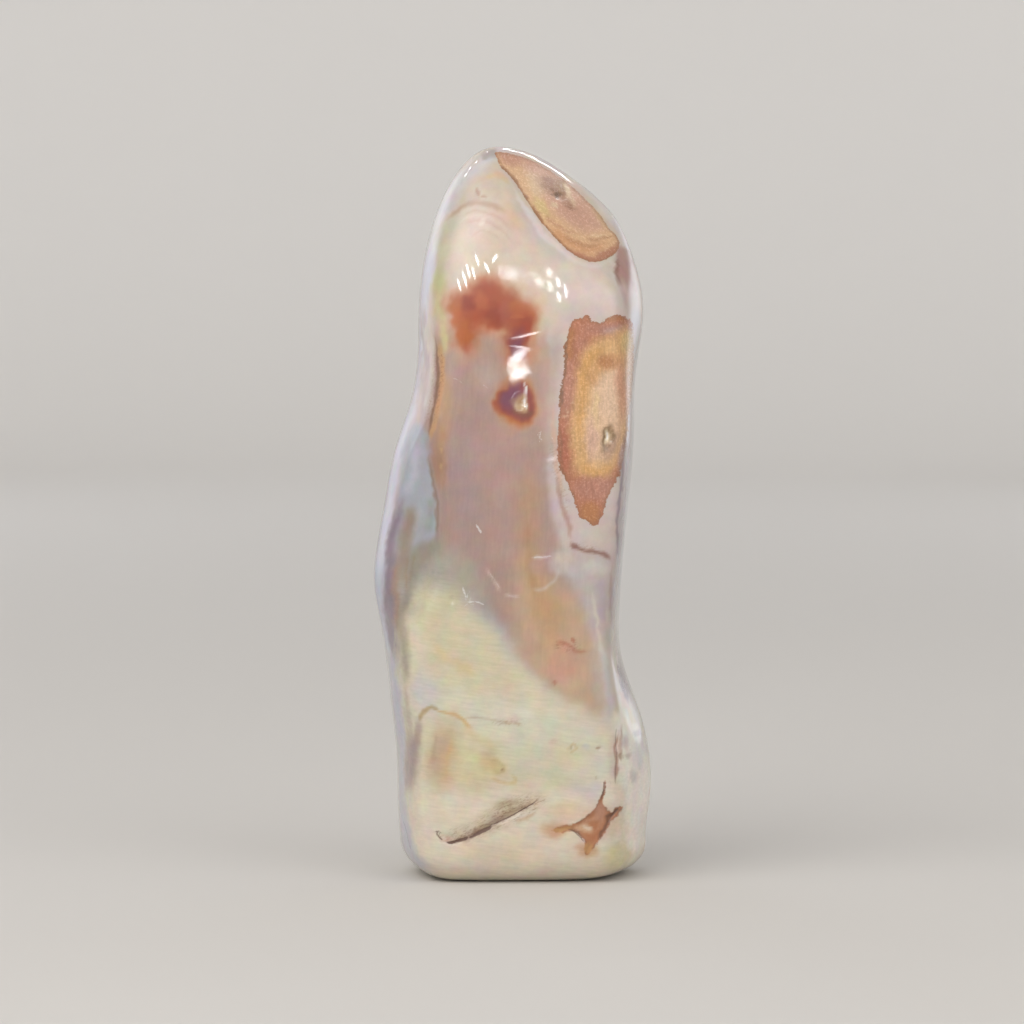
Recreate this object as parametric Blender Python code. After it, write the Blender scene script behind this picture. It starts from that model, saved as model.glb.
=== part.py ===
"""A polished free-form tower of polychrome jasper, standing on its flat sawn foot.

The stone is one piece, ground by hand on a wheel. Its body is a squarish column that four outlines draw:
its reach to the left, right, front and back at each height. It closes over the top like an egg. Slanted
faces and one long scoop are then ground into it, all with soft ridges, and a level cut with a rounded edge
makes the foot.

Sizes are in millimetres until the mesh is made, which is in metres. +Z is up, the show face looks along -Y,
and the origin lies in the sawn foot, under the middle of the stone's box.
"""

import math

import bmesh
import bpy
import numpy as np

NODE = "jasper_freeform"
MM = 0.001
TINY = 1e-6

# Where the body would close. The crown's faces take a little off it.
HEIGHT = 150.0
CROWN_START = 109.0
CROWN_HEIGHT = HEIGHT - CROWN_START

# The upright line that the outlines are measured from runs through the summit.
AXIS_X = -2.0
AXIS_Y = 0.5

# Reach from that line at each height. Above the crown's start it is drawn in like an egg as well.
OUTLINES = {
    "left": [
        (0, 20.4), (8, 21.5), (16, 22.1), (25, 21.9), (34, 22.6), (44, 24.0), (52, 25.4), (60, 27.0),
        (68, 26.4), (77, 24.1), (88, 21.5), (97, 19.1), (CROWN_START, 17.6),
    ],
    "right": [
        (0, 31.0), (8, 29.8), (15, 30.6), (23, 30.7), (30, 29.3), (38, 26.9), (45, 25.3), (54, 24.8),
        (64, 24.9), (78, 26.2), (92, 27.8), (CROWN_START, 28.7), (125, 29.6), (136, 30.0), (HEIGHT, 30.0),
    ],
    "front": [
        (0, 17.4), (10, 19.0), (24, 20.0), (46, 19.8), (70, 19.2), (90, 18.8), (CROWN_START, 18.2),
    ],
    "back": [(0, 16.4), (14, 18.4), (34, 19.4), (60, 19.2), (84, 18.6), (CROWN_START, 17.2)],
}

# How square the section is in each quarter, from the body up to the summit. Two is round.
SQUARENESS = {
    "left_front": [(0, 3.6), (50, 3.2), (100, 3.2), (128, 2.5), (HEIGHT, 2.1)],
    "right_front": [(0, 3.6), (30, 4.6), (60, 5.6), (100, 5.0), (126, 3.2), (HEIGHT, 2.1)],
    "back": [(0, 3.0), (50, 2.7), (100, 2.7), (128, 2.4), (HEIGHT, 2.1)],
}

# Long faces ground down the four corners. Each follows the outlines, and turns and steps in or out with the
# height: softness of its ridges, then height, angle in degrees from the side towards the front or back, and
# how far out the face stands as a share of the reach.
LONG_FACES = {
    ("left", "front"): (1.8, [
        (0, 13.0, 0.985), (25, 13.0, 0.986), (40, 11.0, 0.992), (59, 15.0, 0.979), (75, 17.5, 0.969),
        (89, 18.5, 0.964), (103, 16.3, 0.973), (118, 16.0, 0.985), (132, 16.0, 1.01), (HEIGHT, 16.0, 1.03),
    ]),
    ("right", "front"): (1.8, [
        (0, 13.0, 1.0), (22, 15.5, 0.99), (42, 9.0, 0.998), (60, 5.5, 1.0), (90, 5.0, 1.005),
        (106, 8.0, 1.0), (120, 12.0, 0.9995), (HEIGHT, 12.0, 1.02),
    ]),
    ("left", "back"): (3.5, [
        (0, 52.0, 1.04), (30, 48.0, 1.0), (70, 54.0, 1.03), (105, 50.0, 0.99), (HEIGHT, 50.0, 1.04),
    ]),
    ("right", "back"): (3.5, [
        (0, 38.0, 1.02), (26, 42.0, 1.04), (64, 36.0, 0.99), (100, 42.0, 1.02), (HEIGHT, 40.0, 1.04),
    ]),
}

# Slanted faces of the crown: a point on the face (x, y, height), azimuth from the show face towards +X and
# tilt above level in degrees, bow radius, and softness of its ridges.
CROWN_FACES = {
    "crown_right": ((9.8, -5.2, 138.4), 40.0, 41.0, 150.0, 2.0),
    "crown_back": ((13.6, 5.4, 143.2), 146.0, 33.0, 120.0, 3.0),
}

# Past this distance from its point a crown face stops bowing, so that it leaves the body below alone.
BOW_FADES = 20.0

# The scoop in the left side is the print of one long egg-shaped wheel.
SCOOP_CENTRE = (-32.3, -23.0, 72.5)
SCOOP_RADII = (20.0, 16.0, 33.0)
SCOOP_LEAN = 11.0
SCOOP_SOFTNESS = 1.6

# The wheel leaves slow, shallow waves: height of the wave, its length, and the direction that it runs in.
WHEEL_WAVES = ((0.22, 44.0, (0.2, 0.1, 1.0)), (0.16, 30.0, (0.9, -0.3, 0.5)), (0.10, 21.0, (-0.5, 0.4, 0.8)))

# The rounding between the sides and the foot.
FOOT_SOFTNESS = 7.0

# Mesh density.
COLUMNS = 72
FOOT_RINGS = 6
SIDE_RINGS = 40
CROWN_RINGS = 18

# Rays find the skin. They leave the upright line level up to the pivot, and fan out over the crown above it.
PIVOT_HEIGHT = 122.0
FOOT_SLIVER = 0.04
FARTHEST_REACH = 60.0
HALVINGS = 30

# Where two shading normals meet at more than this angle, in degrees, the edge stays crisp.
CRISP_ANGLE = 40.0


def smooth_curve(knots):
    """The natural cubic spline through (height, value) knots, as a function of height."""
    at, value = np.array(knots, float).T
    step = np.diff(at)
    rise = np.diff(value) / step
    count = len(at)
    matrix = np.eye(count)
    target = np.zeros(count)
    for i in range(1, count - 1):
        matrix[i, i - 1 : i + 2] = step[i - 1], 2 * (step[i - 1] + step[i]), step[i]
        target[i] = 6 * (rise[i] - rise[i - 1])
    bend = np.linalg.solve(matrix, target)

    def read(height):
        h = np.clip(height, at[0], at[-1])
        i = np.clip(np.searchsorted(at, h) - 1, 0, count - 2)
        left, right, span = at[i + 1] - h, h - at[i], step[i]
        return (
            (bend[i] * left**3 + bend[i + 1] * right**3) / (6 * span)
            + (value[i] / span - bend[i] * span / 6) * left
            + (value[i + 1] / span - bend[i + 1] * span / 6) * right
        )

    return read


OUTLINE_AT = {side: smooth_curve(knots) for side, knots in OUTLINES.items()}
SQUARENESS_AT = {quarter: smooth_curve(knots) for quarter, knots in SQUARENESS.items()}
ANGLE_AT = {s: smooth_curve([(h, angle) for h, angle, _ in knots]) for s, (_, knots) in LONG_FACES.items()}
STAND_AT = {s: smooth_curve([(h, stand) for h, _, stand in knots]) for s, (_, knots) in LONG_FACES.items()}


def soft_max(a, b, softness):
    """The larger of a and b, rounded where they are within softness of each other."""
    near = np.maximum(softness - np.abs(a - b), 0.0) / softness
    return np.maximum(a, b) + near * near * softness / 4


def drawn_in(share, height):
    """A share of the reach, closed over the crown like an egg, and the millimetres that a whole share is."""
    rise = np.maximum(height - CROWN_START, 0.0) / CROWN_HEIGHT
    egg = np.sqrt(share * share + rise * rise)
    across = OUTLINE_AT["front"](height)
    return egg, across + (CROWN_HEIGHT - across) * (rise / np.maximum(egg, rise + TINY)) ** 2


def body(points):
    """How far points lie outside the body that the four outlines draw."""
    x, y, height = points[..., 0] - AXIS_X, points[..., 1] - AXIS_Y, points[..., 2]
    across = np.abs(x) / np.where(x < 0, OUTLINE_AT["left"](height), OUTLINE_AT["right"](height))
    deep = np.abs(y) / np.where(y < 0, OUTLINE_AT["front"](height), OUTLINE_AT["back"](height))
    front = np.where(x < 0, SQUARENESS_AT["left_front"](height), SQUARENESS_AT["right_front"](height))
    square = np.where(y < 0, front, SQUARENESS_AT["back"](height))
    egg, size = drawn_in((across**square + deep**square) ** (1 / square), height)
    return (egg - 1) * size


def long_face(points, sides):
    """How far points lie outside a long face on the corner between two sides."""
    x = (points[..., 0] - AXIS_X) * (-1 if sides[0] == "left" else 1)
    y = (points[..., 1] - AXIS_Y) * (-1 if sides[1] == "front" else 1)
    height = points[..., 2]
    turn = np.radians(ANGLE_AT[sides](height))
    out = x / OUTLINE_AT[sides[0]](height) * np.cos(turn) + y / OUTLINE_AT[sides[1]](height) * np.sin(turn)
    egg, size = drawn_in(np.maximum(out, 0.0), height)
    return (egg - STAND_AT[sides](height)) * size


def crown_face(points, centre, azimuth, tilt, bow):
    """How far points lie outside a slanted face of the crown."""
    turn, rise = math.radians(azimuth), math.radians(tilt)
    normal = np.array([math.sin(turn) * math.cos(rise), -math.cos(turn) * math.cos(rise), math.sin(rise)])
    offset = points - np.array(centre)
    out = offset @ normal
    across = (offset * offset).sum(-1) - out * out
    return out + across / (2 * bow) / (1 + across / BOW_FADES**2)


def scoop(points):
    """How deep points lie inside the wheel that hollowed the left side."""
    offset = points - np.array(SCOOP_CENTRE)
    lean = math.radians(SCOOP_LEAN)
    x = offset[..., 0] * math.cos(lean) - offset[..., 2] * math.sin(lean)
    z = offset[..., 0] * math.sin(lean) + offset[..., 2] * math.cos(lean)
    rx, ry, rz = SCOOP_RADII
    ratio = np.sqrt((x / rx) ** 2 + (offset[..., 1] / ry) ** 2 + (z / rz) ** 2)
    return (1 - ratio) * rx


def wheel_waves(points):
    """The slow waves left in the polish."""
    total = 0.0
    for size, length, direction in WHEEL_WAVES:
        along = points @ (np.array(direction) / np.linalg.norm(direction))
        total = total + size * np.sin(2 * math.pi * along / length)
    return total


def skin(points):
    """Below zero inside the stone, above zero outside. Points are in millimetres."""
    outside = body(points)
    for sides, (softness, _) in LONG_FACES.items():
        outside = soft_max(outside, long_face(points, sides), softness)
    outside = soft_max(outside, scoop(points), SCOOP_SOFTNESS)
    for centre, azimuth, tilt, bow, softness in CROWN_FACES.values():
        outside = soft_max(outside, crown_face(points, centre, azimuth, tilt, bow), softness)
    return soft_max(outside + wheel_waves(points), -points[..., 2], FOOT_SOFTNESS)


def on_skin(starts, directions):
    """Where rays from inside the stone leave it, found by halving."""
    near = np.zeros(len(starts))
    far = np.full(len(starts), FARTHEST_REACH)
    for _ in range(HALVINGS):
        middle = (near + far) / 2
        inside = skin(starts + directions * middle[:, None]) < 0
        near = np.where(inside, middle, near)
        far = np.where(inside, far, middle)
    return starts + directions * near[:, None]


def ring_heights():
    """Heights of the level rings: close where the side rounds into the foot, then even up to the pivot."""
    foot = [FOOT_SLIVER + FOOT_SOFTNESS / 2 * (i / FOOT_RINGS) ** 2 for i in range(FOOT_RINGS)]
    side = np.linspace(FOOT_SLIVER + FOOT_SOFTNESS / 2, PIVOT_HEIGHT, SIDE_RINGS, endpoint=False)
    return foot + list(side)


def rays():
    """Starts and directions, ring by ring from the foot up to the ring next to the summit."""
    around = np.linspace(0, 2 * math.pi, COLUMNS, endpoint=False)
    level = np.stack([np.sin(around), -np.cos(around), np.zeros(COLUMNS)], axis=1)
    starts, directions = [], []
    for height in ring_heights():
        starts.append(np.tile([AXIS_X, AXIS_Y, height], (COLUMNS, 1)))
        directions.append(level)
    for rise in np.linspace(0, math.pi / 2, CROWN_RINGS, endpoint=False):
        starts.append(np.tile([AXIS_X, AXIS_Y, PIVOT_HEIGHT], (COLUMNS, 1)))
        directions.append(level * math.cos(rise) + np.array([0, 0, math.sin(rise)]))
    return np.concatenate(starts), np.concatenate(directions)


def stone_mesh():
    """The stone's skin as rings of quads, closed over the summit, with one flat face for the foot."""
    points = on_skin(*rays())
    points[:COLUMNS, 2] = 0.0
    summit = on_skin(np.array([[AXIS_X, AXIS_Y, PIVOT_HEIGHT]]), np.array([[0.0, 0.0, 1.0]]))[0]
    bm = bmesh.new()
    verts = [bm.verts.new(p * MM) for p in points]
    top = bm.verts.new(summit * MM)
    rings = [verts[i : i + COLUMNS] for i in range(0, len(verts), COLUMNS)]
    for lower, upper in zip(rings, rings[1:]):
        for j in range(COLUMNS):
            k = (j + 1) % COLUMNS
            bm.faces.new((lower[j], lower[k], upper[k], upper[j]))
    for j in range(COLUMNS):
        bm.faces.new((rings[-1][j], rings[-1][(j + 1) % COLUMNS], top))
    bm.faces.new(list(reversed(rings[0])))
    bmesh.ops.recalc_face_normals(bm, faces=bm.faces)
    mesh = bpy.data.meshes.new(NODE)
    bm.to_mesh(mesh)
    bm.free()
    mesh.shade_smooth()
    mesh.set_sharp_from_angle(angle=math.radians(CRISP_ANGLE))
    return mesh


def polished_stone():
    """Glossy jasper in its average colour."""
    material = bpy.data.materials.new("polished_jasper")
    material.use_nodes = True
    shader = material.node_tree.nodes["Principled BSDF"]
    shader.inputs["Base Color"].default_value = (0.56, 0.43, 0.33, 1.0)
    shader.inputs["Roughness"].default_value = 0.12
    shader.inputs["Metallic"].default_value = 0.0
    return material


def main():
    for old in list(bpy.data.objects):
        bpy.data.objects.remove(old)
    stone = bpy.data.objects.new(NODE, stone_mesh())
    stone.data.materials.append(polished_stone())
    bpy.context.scene.collection.objects.link(stone)


main()
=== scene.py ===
"""The looks of a polished jasper free-form: a fine skin with real pits and cracks, colours, and a studio.

The form is the one that the frame holds, cut from the same outlines and faces, with a much finer mesh. Sizes
are in millimetres until the mesh is made, which is in metres. +Z is up and the show face looks along -Y.

The show face's markings are laid out on a drawing of it, as the camera sees it: 1024 units wide and tall, u
to the right and v down, about 4.9 units to a millimetre. The sides and the back are coloured by height and by
clouds in the stone, and have a second drawing, unrolled round the stone on the same scale.
"""

import math

import bpy
import numpy as np
from mathutils import Matrix, Vector, noise


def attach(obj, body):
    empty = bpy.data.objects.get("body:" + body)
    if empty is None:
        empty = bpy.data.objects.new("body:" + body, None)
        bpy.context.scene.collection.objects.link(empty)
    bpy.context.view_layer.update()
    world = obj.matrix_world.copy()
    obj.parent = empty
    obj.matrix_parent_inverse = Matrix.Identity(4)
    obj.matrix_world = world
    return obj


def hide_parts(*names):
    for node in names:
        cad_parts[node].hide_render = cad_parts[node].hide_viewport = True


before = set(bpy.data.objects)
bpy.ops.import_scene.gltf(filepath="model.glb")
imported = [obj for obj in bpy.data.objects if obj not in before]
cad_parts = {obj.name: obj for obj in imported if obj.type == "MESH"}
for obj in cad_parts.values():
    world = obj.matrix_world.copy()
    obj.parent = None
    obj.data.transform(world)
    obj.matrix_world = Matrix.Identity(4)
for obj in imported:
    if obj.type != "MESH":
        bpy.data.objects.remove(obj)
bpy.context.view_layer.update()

NODE = "jasper_freeform"
MM = 0.001
TINY = 1e-6

# Where the body would close. The crown's faces take a little off it.
HEIGHT = 150.0
CROWN_START = 109.0
CROWN_HEIGHT = HEIGHT - CROWN_START

# The upright line that the outlines are measured from runs through the summit.
AXIS_X = -2.0
AXIS_Y = 0.5

# Reach from that line at each height. Above the crown's start it is drawn in like an egg as well.
OUTLINES = {
    "left": [
        (0, 20.4), (8, 21.5), (16, 22.1), (25, 21.9), (34, 22.6), (44, 24.0), (52, 25.4), (60, 27.0),
        (68, 26.4), (77, 24.1), (88, 21.5), (97, 19.1), (CROWN_START, 17.6),
    ],
    "right": [
        (0, 31.0), (8, 29.8), (15, 30.6), (23, 30.7), (30, 29.3), (38, 26.9), (45, 25.3), (54, 24.8),
        (64, 24.9), (78, 26.2), (92, 27.8), (CROWN_START, 28.7), (125, 29.6), (136, 30.0), (HEIGHT, 30.0),
    ],
    "front": [
        (0, 17.4), (10, 19.0), (24, 20.0), (46, 19.8), (70, 19.2), (90, 18.8), (CROWN_START, 18.2),
    ],
    "back": [(0, 16.4), (14, 18.4), (34, 19.4), (60, 19.2), (84, 18.6), (CROWN_START, 17.2)],
}

# How square the section is in each quarter, from the body up to the summit. Two is round.
SQUARENESS = {
    "left_front": [(0, 3.6), (50, 3.2), (100, 3.2), (128, 2.5), (HEIGHT, 2.1)],
    "right_front": [(0, 3.6), (30, 4.6), (60, 5.6), (100, 5.0), (126, 3.2), (HEIGHT, 2.1)],
    "back": [(0, 3.0), (50, 2.7), (100, 2.7), (128, 2.4), (HEIGHT, 2.1)],
}

# Long faces ground down the four corners. Each follows the outlines, and turns and steps in or out with the
# height: softness of its ridges, then height, angle in degrees from the side towards the front or back, and
# how far out the face stands as a share of the reach.
LONG_FACES = {
    ("left", "front"): (1.8, [
        (0, 13.0, 0.985), (25, 13.0, 0.986), (40, 11.0, 0.992), (59, 15.0, 0.979), (75, 17.5, 0.969),
        (89, 18.5, 0.964), (103, 16.3, 0.973), (118, 16.0, 0.985), (132, 16.0, 1.01), (HEIGHT, 16.0, 1.03),
    ]),
    ("right", "front"): (1.8, [
        (0, 13.0, 1.0), (22, 15.5, 0.99), (42, 9.0, 0.998), (60, 5.5, 1.0), (90, 5.0, 1.005),
        (106, 8.0, 1.0), (120, 12.0, 0.9995), (HEIGHT, 12.0, 1.02),
    ]),
    ("left", "back"): (3.5, [
        (0, 52.0, 1.04), (30, 48.0, 1.0), (70, 54.0, 1.03), (105, 50.0, 0.99), (HEIGHT, 50.0, 1.04),
    ]),
    ("right", "back"): (3.5, [
        (0, 38.0, 1.02), (26, 42.0, 1.04), (64, 36.0, 0.99), (100, 42.0, 1.02), (HEIGHT, 40.0, 1.04),
    ]),
}

# Slanted faces of the crown: a point on the face (x, y, height), azimuth from the show face towards +X and
# tilt above level in degrees, bow radius, and softness of its ridges.
CROWN_FACES = {
    "crown_right": ((9.8, -5.2, 138.4), 40.0, 41.0, 150.0, 2.0),
    "crown_back": ((13.6, 5.4, 143.2), 146.0, 33.0, 120.0, 3.0),
}

# Past this distance from its point a crown face stops bowing, so that it leaves the body below alone.
BOW_FADES = 20.0

# The scoop in the left side is the print of one long egg-shaped wheel.
SCOOP_CENTRE = (-32.3, -23.0, 72.5)
SCOOP_RADII = (20.0, 16.0, 33.0)
SCOOP_LEAN = 11.0
SCOOP_SOFTNESS = 1.6

# The wheel leaves slow, shallow waves: height of the wave, its length, and the direction that it runs in.
WHEEL_WAVES = ((0.22, 44.0, (0.2, 0.1, 1.0)), (0.16, 30.0, (0.9, -0.3, 0.5)), (0.10, 21.0, (-0.5, 0.4, 0.8)))

# The rounding between the sides and the foot.
FOOT_SOFTNESS = 7.0

# Mesh density. Most columns stand evenly across the show face, and the rest open out towards the back.
FRONT_COLUMNS = 170
BACK_COLUMNS = 70
COLUMNS = FRONT_COLUMNS + BACK_COLUMNS
FRONT_TURN = math.radians(60)
FOOT_RINGS = 10
SIDE_RINGS = 305
CROWN_RINGS = 98

# Rays find the skin. They leave the upright line level up to the pivot, and fan out over the crown above it.
PIVOT_HEIGHT = 122.0
FOOT_SLIVER = 0.04
FARTHEST_REACH = 60.0
HALVINGS = 24
SLOPE_STEP = 0.05

# The camera, which also sets the drawing of the show face: lens and sensor, distance, rise in degrees, aim.
LENS = 154.4
SENSOR = 36.0
VIEW_DISTANCE = 900.0
VIEW_RISE = 3.5
AIM_HEIGHT = 74.45
DRAWING = 1024
UNITS_PER_MM = 4.9

# Hairlines are looked for this near, in drawing units, and elsewhere count as this far off, in millimetres.
HAIRLINE_REACH = 9.0
FAR_OFF = 3.0

# How far round an outline the distance to it is measured, in drawing units.
OUTLINE_REACH = 40.0

# Millimetres that put a place out of every outline on a drawing that doesn't show it.
FAR_OUTSIDE = -10.0

# Glints in the polish: where each starts and ends on the drawing, and its width in drawing units.
GLINTS = [
    ((457, 279), (461, 290), 1.5), ((462, 271), (467, 286), 1.7), ((466, 264), (470, 277), 1.7),
    ((475, 254), (479, 265), 1.8), ((472, 267), (475, 278), 1.6), ((484, 262), (489, 272), 1.8),
    ((497, 255), (492, 262), 2.4), ((540, 275), (541, 288), 1.8), ((550, 268), (550, 278), 1.8),
    ((550, 281), (551, 292), 1.8), ((558, 278), (559, 288), 1.8), ((558, 292), (560, 302), 1.8),
    ((565, 284), (567, 298), 1.6), ((509, 378), (529, 370), 6),
]

# Each glint's lamp hangs this far away. A narrow beam packs its light tight, so its glow goes by the beam.
GLINT_DISTANCE = 850.0
GLINT_GLOW = 16.0
BEAM_SPARE = 1.25
BEAM_EDGE = math.radians(0.3)

# Dots of light along the crown's rim.
RIM_GLINTS = [
    (466, 174), (470, 168), (476, 162), (487, 152), (506, 149), (513, 151), (522, 153), (532, 157),
    (545, 164),
]
RIM_LAMP_SIZE = 0.035

# The studio in metres: how far its floor is level, the bend up into the wall, and the wall's top.
FLOOR_RADIUS = 1.6
FLOOR_BEND = 1.2
WALL_HEIGHT = 3.0
FLOOR_SIDES = 96

# The colours are what the stone shows in the studio's light, and this takes that light out again.
DAYLIGHT = 0.76

# The stone's colours in daylight, as red, green and blue out of 255.
COLOURS = {
    # Greys and lavenders. rim_blue and rim_grey paint rim reflections, and white paints glints.
    "lavender": (188, 184, 198), "lavender_pale": (193, 190, 204), "rim_blue": (188, 196, 213),
    "rim_grey": (187, 180, 185), "lilac": (182, 169, 177), "lilac_deep": (163, 140, 150),
    "lilac_pink": (186, 166, 170), "pale_lilac": (206, 197, 205), "mist": (201, 199, 205),
    "violet_grey": (146, 130, 140), "scoop_brown": (152, 131, 114), "scoop_blue": (168, 169, 177),
    "pale_grey": (190, 179, 174), "pearl": (214, 206, 204), "bulge_grey": (248, 240, 229),
    "dusk": (122, 102, 108), "white": (242, 240, 238),
    # Mauves and roses
    "mauve": (172, 144, 134), "plum_grey": (165, 141, 139), "mauve_rose": (183, 148, 138),
    "mauve_line": (172, 147, 143), "mist_brown": (187, 167, 156), "beige_rose": (213, 190, 178),
    "pink_white": (206, 190, 181), "blush": (212, 173, 153), "pink": (203, 157, 134),
    "wedge_mauve": (170, 130, 120), "wedge_brown": (141, 102, 90),
    # Beiges, tans and ochres
    "beige": (204, 186, 169), "beige_pink": (208, 186, 174), "beige_gold": (210, 183, 148),
    "beige_grey": (197, 184, 171), "beige_brown": (172, 142, 120), "sand": (198, 167, 138),
    "tan_grey": (187, 169, 150), "smudge": (199, 169, 131), "smudge_pink": (197, 162, 140),
    "ochre": (190, 148, 103), "ochre_dark": (172, 130, 94), "ochre_pale": (206, 172, 126),
    "sliver_ochre": (183, 144, 103), "sliver_tan": (198, 153, 114), "gold": (213, 175, 122),
    "gold_pale": (219, 189, 142),
    "peach": (216, 174, 138), "halo": (206, 187, 160), "halo_dark": (171, 146, 118),
    # Creams and greens
    "cream": (218, 208, 182), "cream_pale": (227, 220, 202), "cream_green": (204, 199, 166),
    "cream_deep": (208, 195, 164), "cream_white": (218, 212, 193), "cream_pink": (234, 220, 201),
    "cream_shade": (205, 195, 180), "straw": (207, 194, 150), "straw_pale": (219, 206, 163),
    "sage": (191, 187, 162), "sage_pale": (206, 204, 174), "sage_grey": (152, 157, 147),
    "moss": (190, 183, 132), "green_grey": (171, 167, 149), "olive_grey": (149, 139, 122),
    "olive_gold": (178, 155, 107),
    # Browns, rusts and reds
    "umber": (130, 92, 68), "umber_dark": (106, 82, 64), "umber_pink": (162, 122, 102),
    "umber_orange": (161, 113, 79), "umber_olive": (143, 117, 86), "umber_rim": (138, 97, 66),
    "crack": (106, 75, 61), "apricot": (206, 158, 122), "cinnamon": (180, 104, 58),
    "brick": (163, 82, 55), "brick_dark": (146, 66, 48), "brick_light": (184, 104, 66),
    "brick_rose": (168, 92, 72), "brick_red": (160, 76, 56), "wine": (138, 72, 74),
    "plum": (128, 80, 98), "ring_tan": (190, 156, 118), "rust": (184, 122, 82),
    "rust_rose": (189, 137, 113), "rust_orange": (188, 120, 79), "rust_pale": (197, 144, 113),
    "rust_ochre": (200, 153, 99), "rust_dark": (108, 66, 48),
    # The eyes
    "crown_gold": (218, 176, 134), "eye_gold": (212, 168, 116), "eye_amber": (204, 152, 90),
    "eye_straw": (213, 186, 128), "eye_cream": (222, 198, 162),
    "eye_pink": (208, 166, 142), "eye_rose": (192, 140, 115), "eye_shade": (166, 130, 106),
    "eye_orange": (206, 150, 105), "eye_brick": (176, 118, 91), "eye_peach": (215, 179, 146),
    "eye_peach_red": (205, 149, 119), "eye_cream_pink": (216, 182, 152), "eye_pink_pale": (208, 168, 147),
    "olive_ochre": (161, 131, 92), "terracotta": (178, 118, 90), "terra_rose": (184, 131, 112),
    "terra_red": (172, 102, 78), "terra_ochre": (178, 122, 76),
}


def smooth_curve(knots):
    """The natural cubic spline through (height, value) knots, as a function of height."""
    at, value = np.array(knots, float).T
    step = np.diff(at)
    rise = np.diff(value) / step
    count = len(at)
    matrix = np.eye(count)
    target = np.zeros(count)
    for i in range(1, count - 1):
        matrix[i, i - 1 : i + 2] = step[i - 1], 2 * (step[i - 1] + step[i]), step[i]
        target[i] = 6 * (rise[i] - rise[i - 1])
    bend = np.linalg.solve(matrix, target)

    def read(height):
        h = np.clip(height, at[0], at[-1])
        i = np.clip(np.searchsorted(at, h) - 1, 0, count - 2)
        left, right, span = at[i + 1] - h, h - at[i], step[i]
        return (
            (bend[i] * left**3 + bend[i + 1] * right**3) / (6 * span)
            + (value[i] / span - bend[i] * span / 6) * left
            + (value[i + 1] / span - bend[i + 1] * span / 6) * right
        )

    return read


OUTLINE_AT = {side: smooth_curve(knots) for side, knots in OUTLINES.items()}
SQUARENESS_AT = {quarter: smooth_curve(knots) for quarter, knots in SQUARENESS.items()}
ANGLE_AT = {s: smooth_curve([(h, angle) for h, angle, _ in knots]) for s, (_, knots) in LONG_FACES.items()}
STAND_AT = {s: smooth_curve([(h, stand) for h, _, stand in knots]) for s, (_, knots) in LONG_FACES.items()}


def soft_max(a, b, softness):
    """The larger of a and b, rounded where they are within softness of each other."""
    near = np.maximum(softness - np.abs(a - b), 0.0) / softness
    return np.maximum(a, b) + near * near * softness / 4


def drawn_in(share, height):
    """A share of the reach, closed over the crown like an egg, and the millimetres that a whole share is."""
    rise = np.maximum(height - CROWN_START, 0.0) / CROWN_HEIGHT
    egg = np.sqrt(share * share + rise * rise)
    across = OUTLINE_AT["front"](height)
    return egg, across + (CROWN_HEIGHT - across) * (rise / np.maximum(egg, rise + TINY)) ** 2


def body(points):
    """How far points lie outside the body that the four outlines draw."""
    x, y, height = points[..., 0] - AXIS_X, points[..., 1] - AXIS_Y, points[..., 2]
    across = np.abs(x) / np.where(x < 0, OUTLINE_AT["left"](height), OUTLINE_AT["right"](height))
    deep = np.abs(y) / np.where(y < 0, OUTLINE_AT["front"](height), OUTLINE_AT["back"](height))
    front = np.where(x < 0, SQUARENESS_AT["left_front"](height), SQUARENESS_AT["right_front"](height))
    square = np.where(y < 0, front, SQUARENESS_AT["back"](height))
    egg, size = drawn_in((across**square + deep**square) ** (1 / square), height)
    return (egg - 1) * size


def long_face(points, sides):
    """How far points lie outside a long face on the corner between two sides."""
    x = (points[..., 0] - AXIS_X) * (-1 if sides[0] == "left" else 1)
    y = (points[..., 1] - AXIS_Y) * (-1 if sides[1] == "front" else 1)
    height = points[..., 2]
    turn = np.radians(ANGLE_AT[sides](height))
    out = x / OUTLINE_AT[sides[0]](height) * np.cos(turn) + y / OUTLINE_AT[sides[1]](height) * np.sin(turn)
    egg, size = drawn_in(np.maximum(out, 0.0), height)
    return (egg - STAND_AT[sides](height)) * size


def face_normal(azimuth, tilt):
    """The outward normal of a face, from its azimuth and its tilt above level in degrees."""
    turn, rise = math.radians(azimuth), math.radians(tilt)
    return np.array([math.sin(turn) * math.cos(rise), -math.cos(turn) * math.cos(rise), math.sin(rise)])


def crown_face(points, centre, azimuth, tilt, bow):
    """How far points lie outside a slanted face of the crown."""
    offset = points - np.array(centre)
    out = offset @ face_normal(azimuth, tilt)
    across = (offset * offset).sum(-1) - out * out
    return out + across / (2 * bow) / (1 + across / BOW_FADES**2)


def scoop(points):
    """How deep points lie inside the wheel that hollowed the left side."""
    offset = points - np.array(SCOOP_CENTRE)
    lean = math.radians(SCOOP_LEAN)
    x = offset[..., 0] * math.cos(lean) - offset[..., 2] * math.sin(lean)
    z = offset[..., 0] * math.sin(lean) + offset[..., 2] * math.cos(lean)
    rx, ry, rz = SCOOP_RADII
    ratio = np.sqrt((x / rx) ** 2 + (offset[..., 1] / ry) ** 2 + (z / rz) ** 2)
    return (1 - ratio) * rx


def wheel_waves(points):
    """The slow waves left in the polish."""
    total = 0.0
    for size, length, direction in WHEEL_WAVES:
        along = points @ (np.array(direction) / np.linalg.norm(direction))
        total = total + size * np.sin(2 * math.pi * along / length)
    return total


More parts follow.
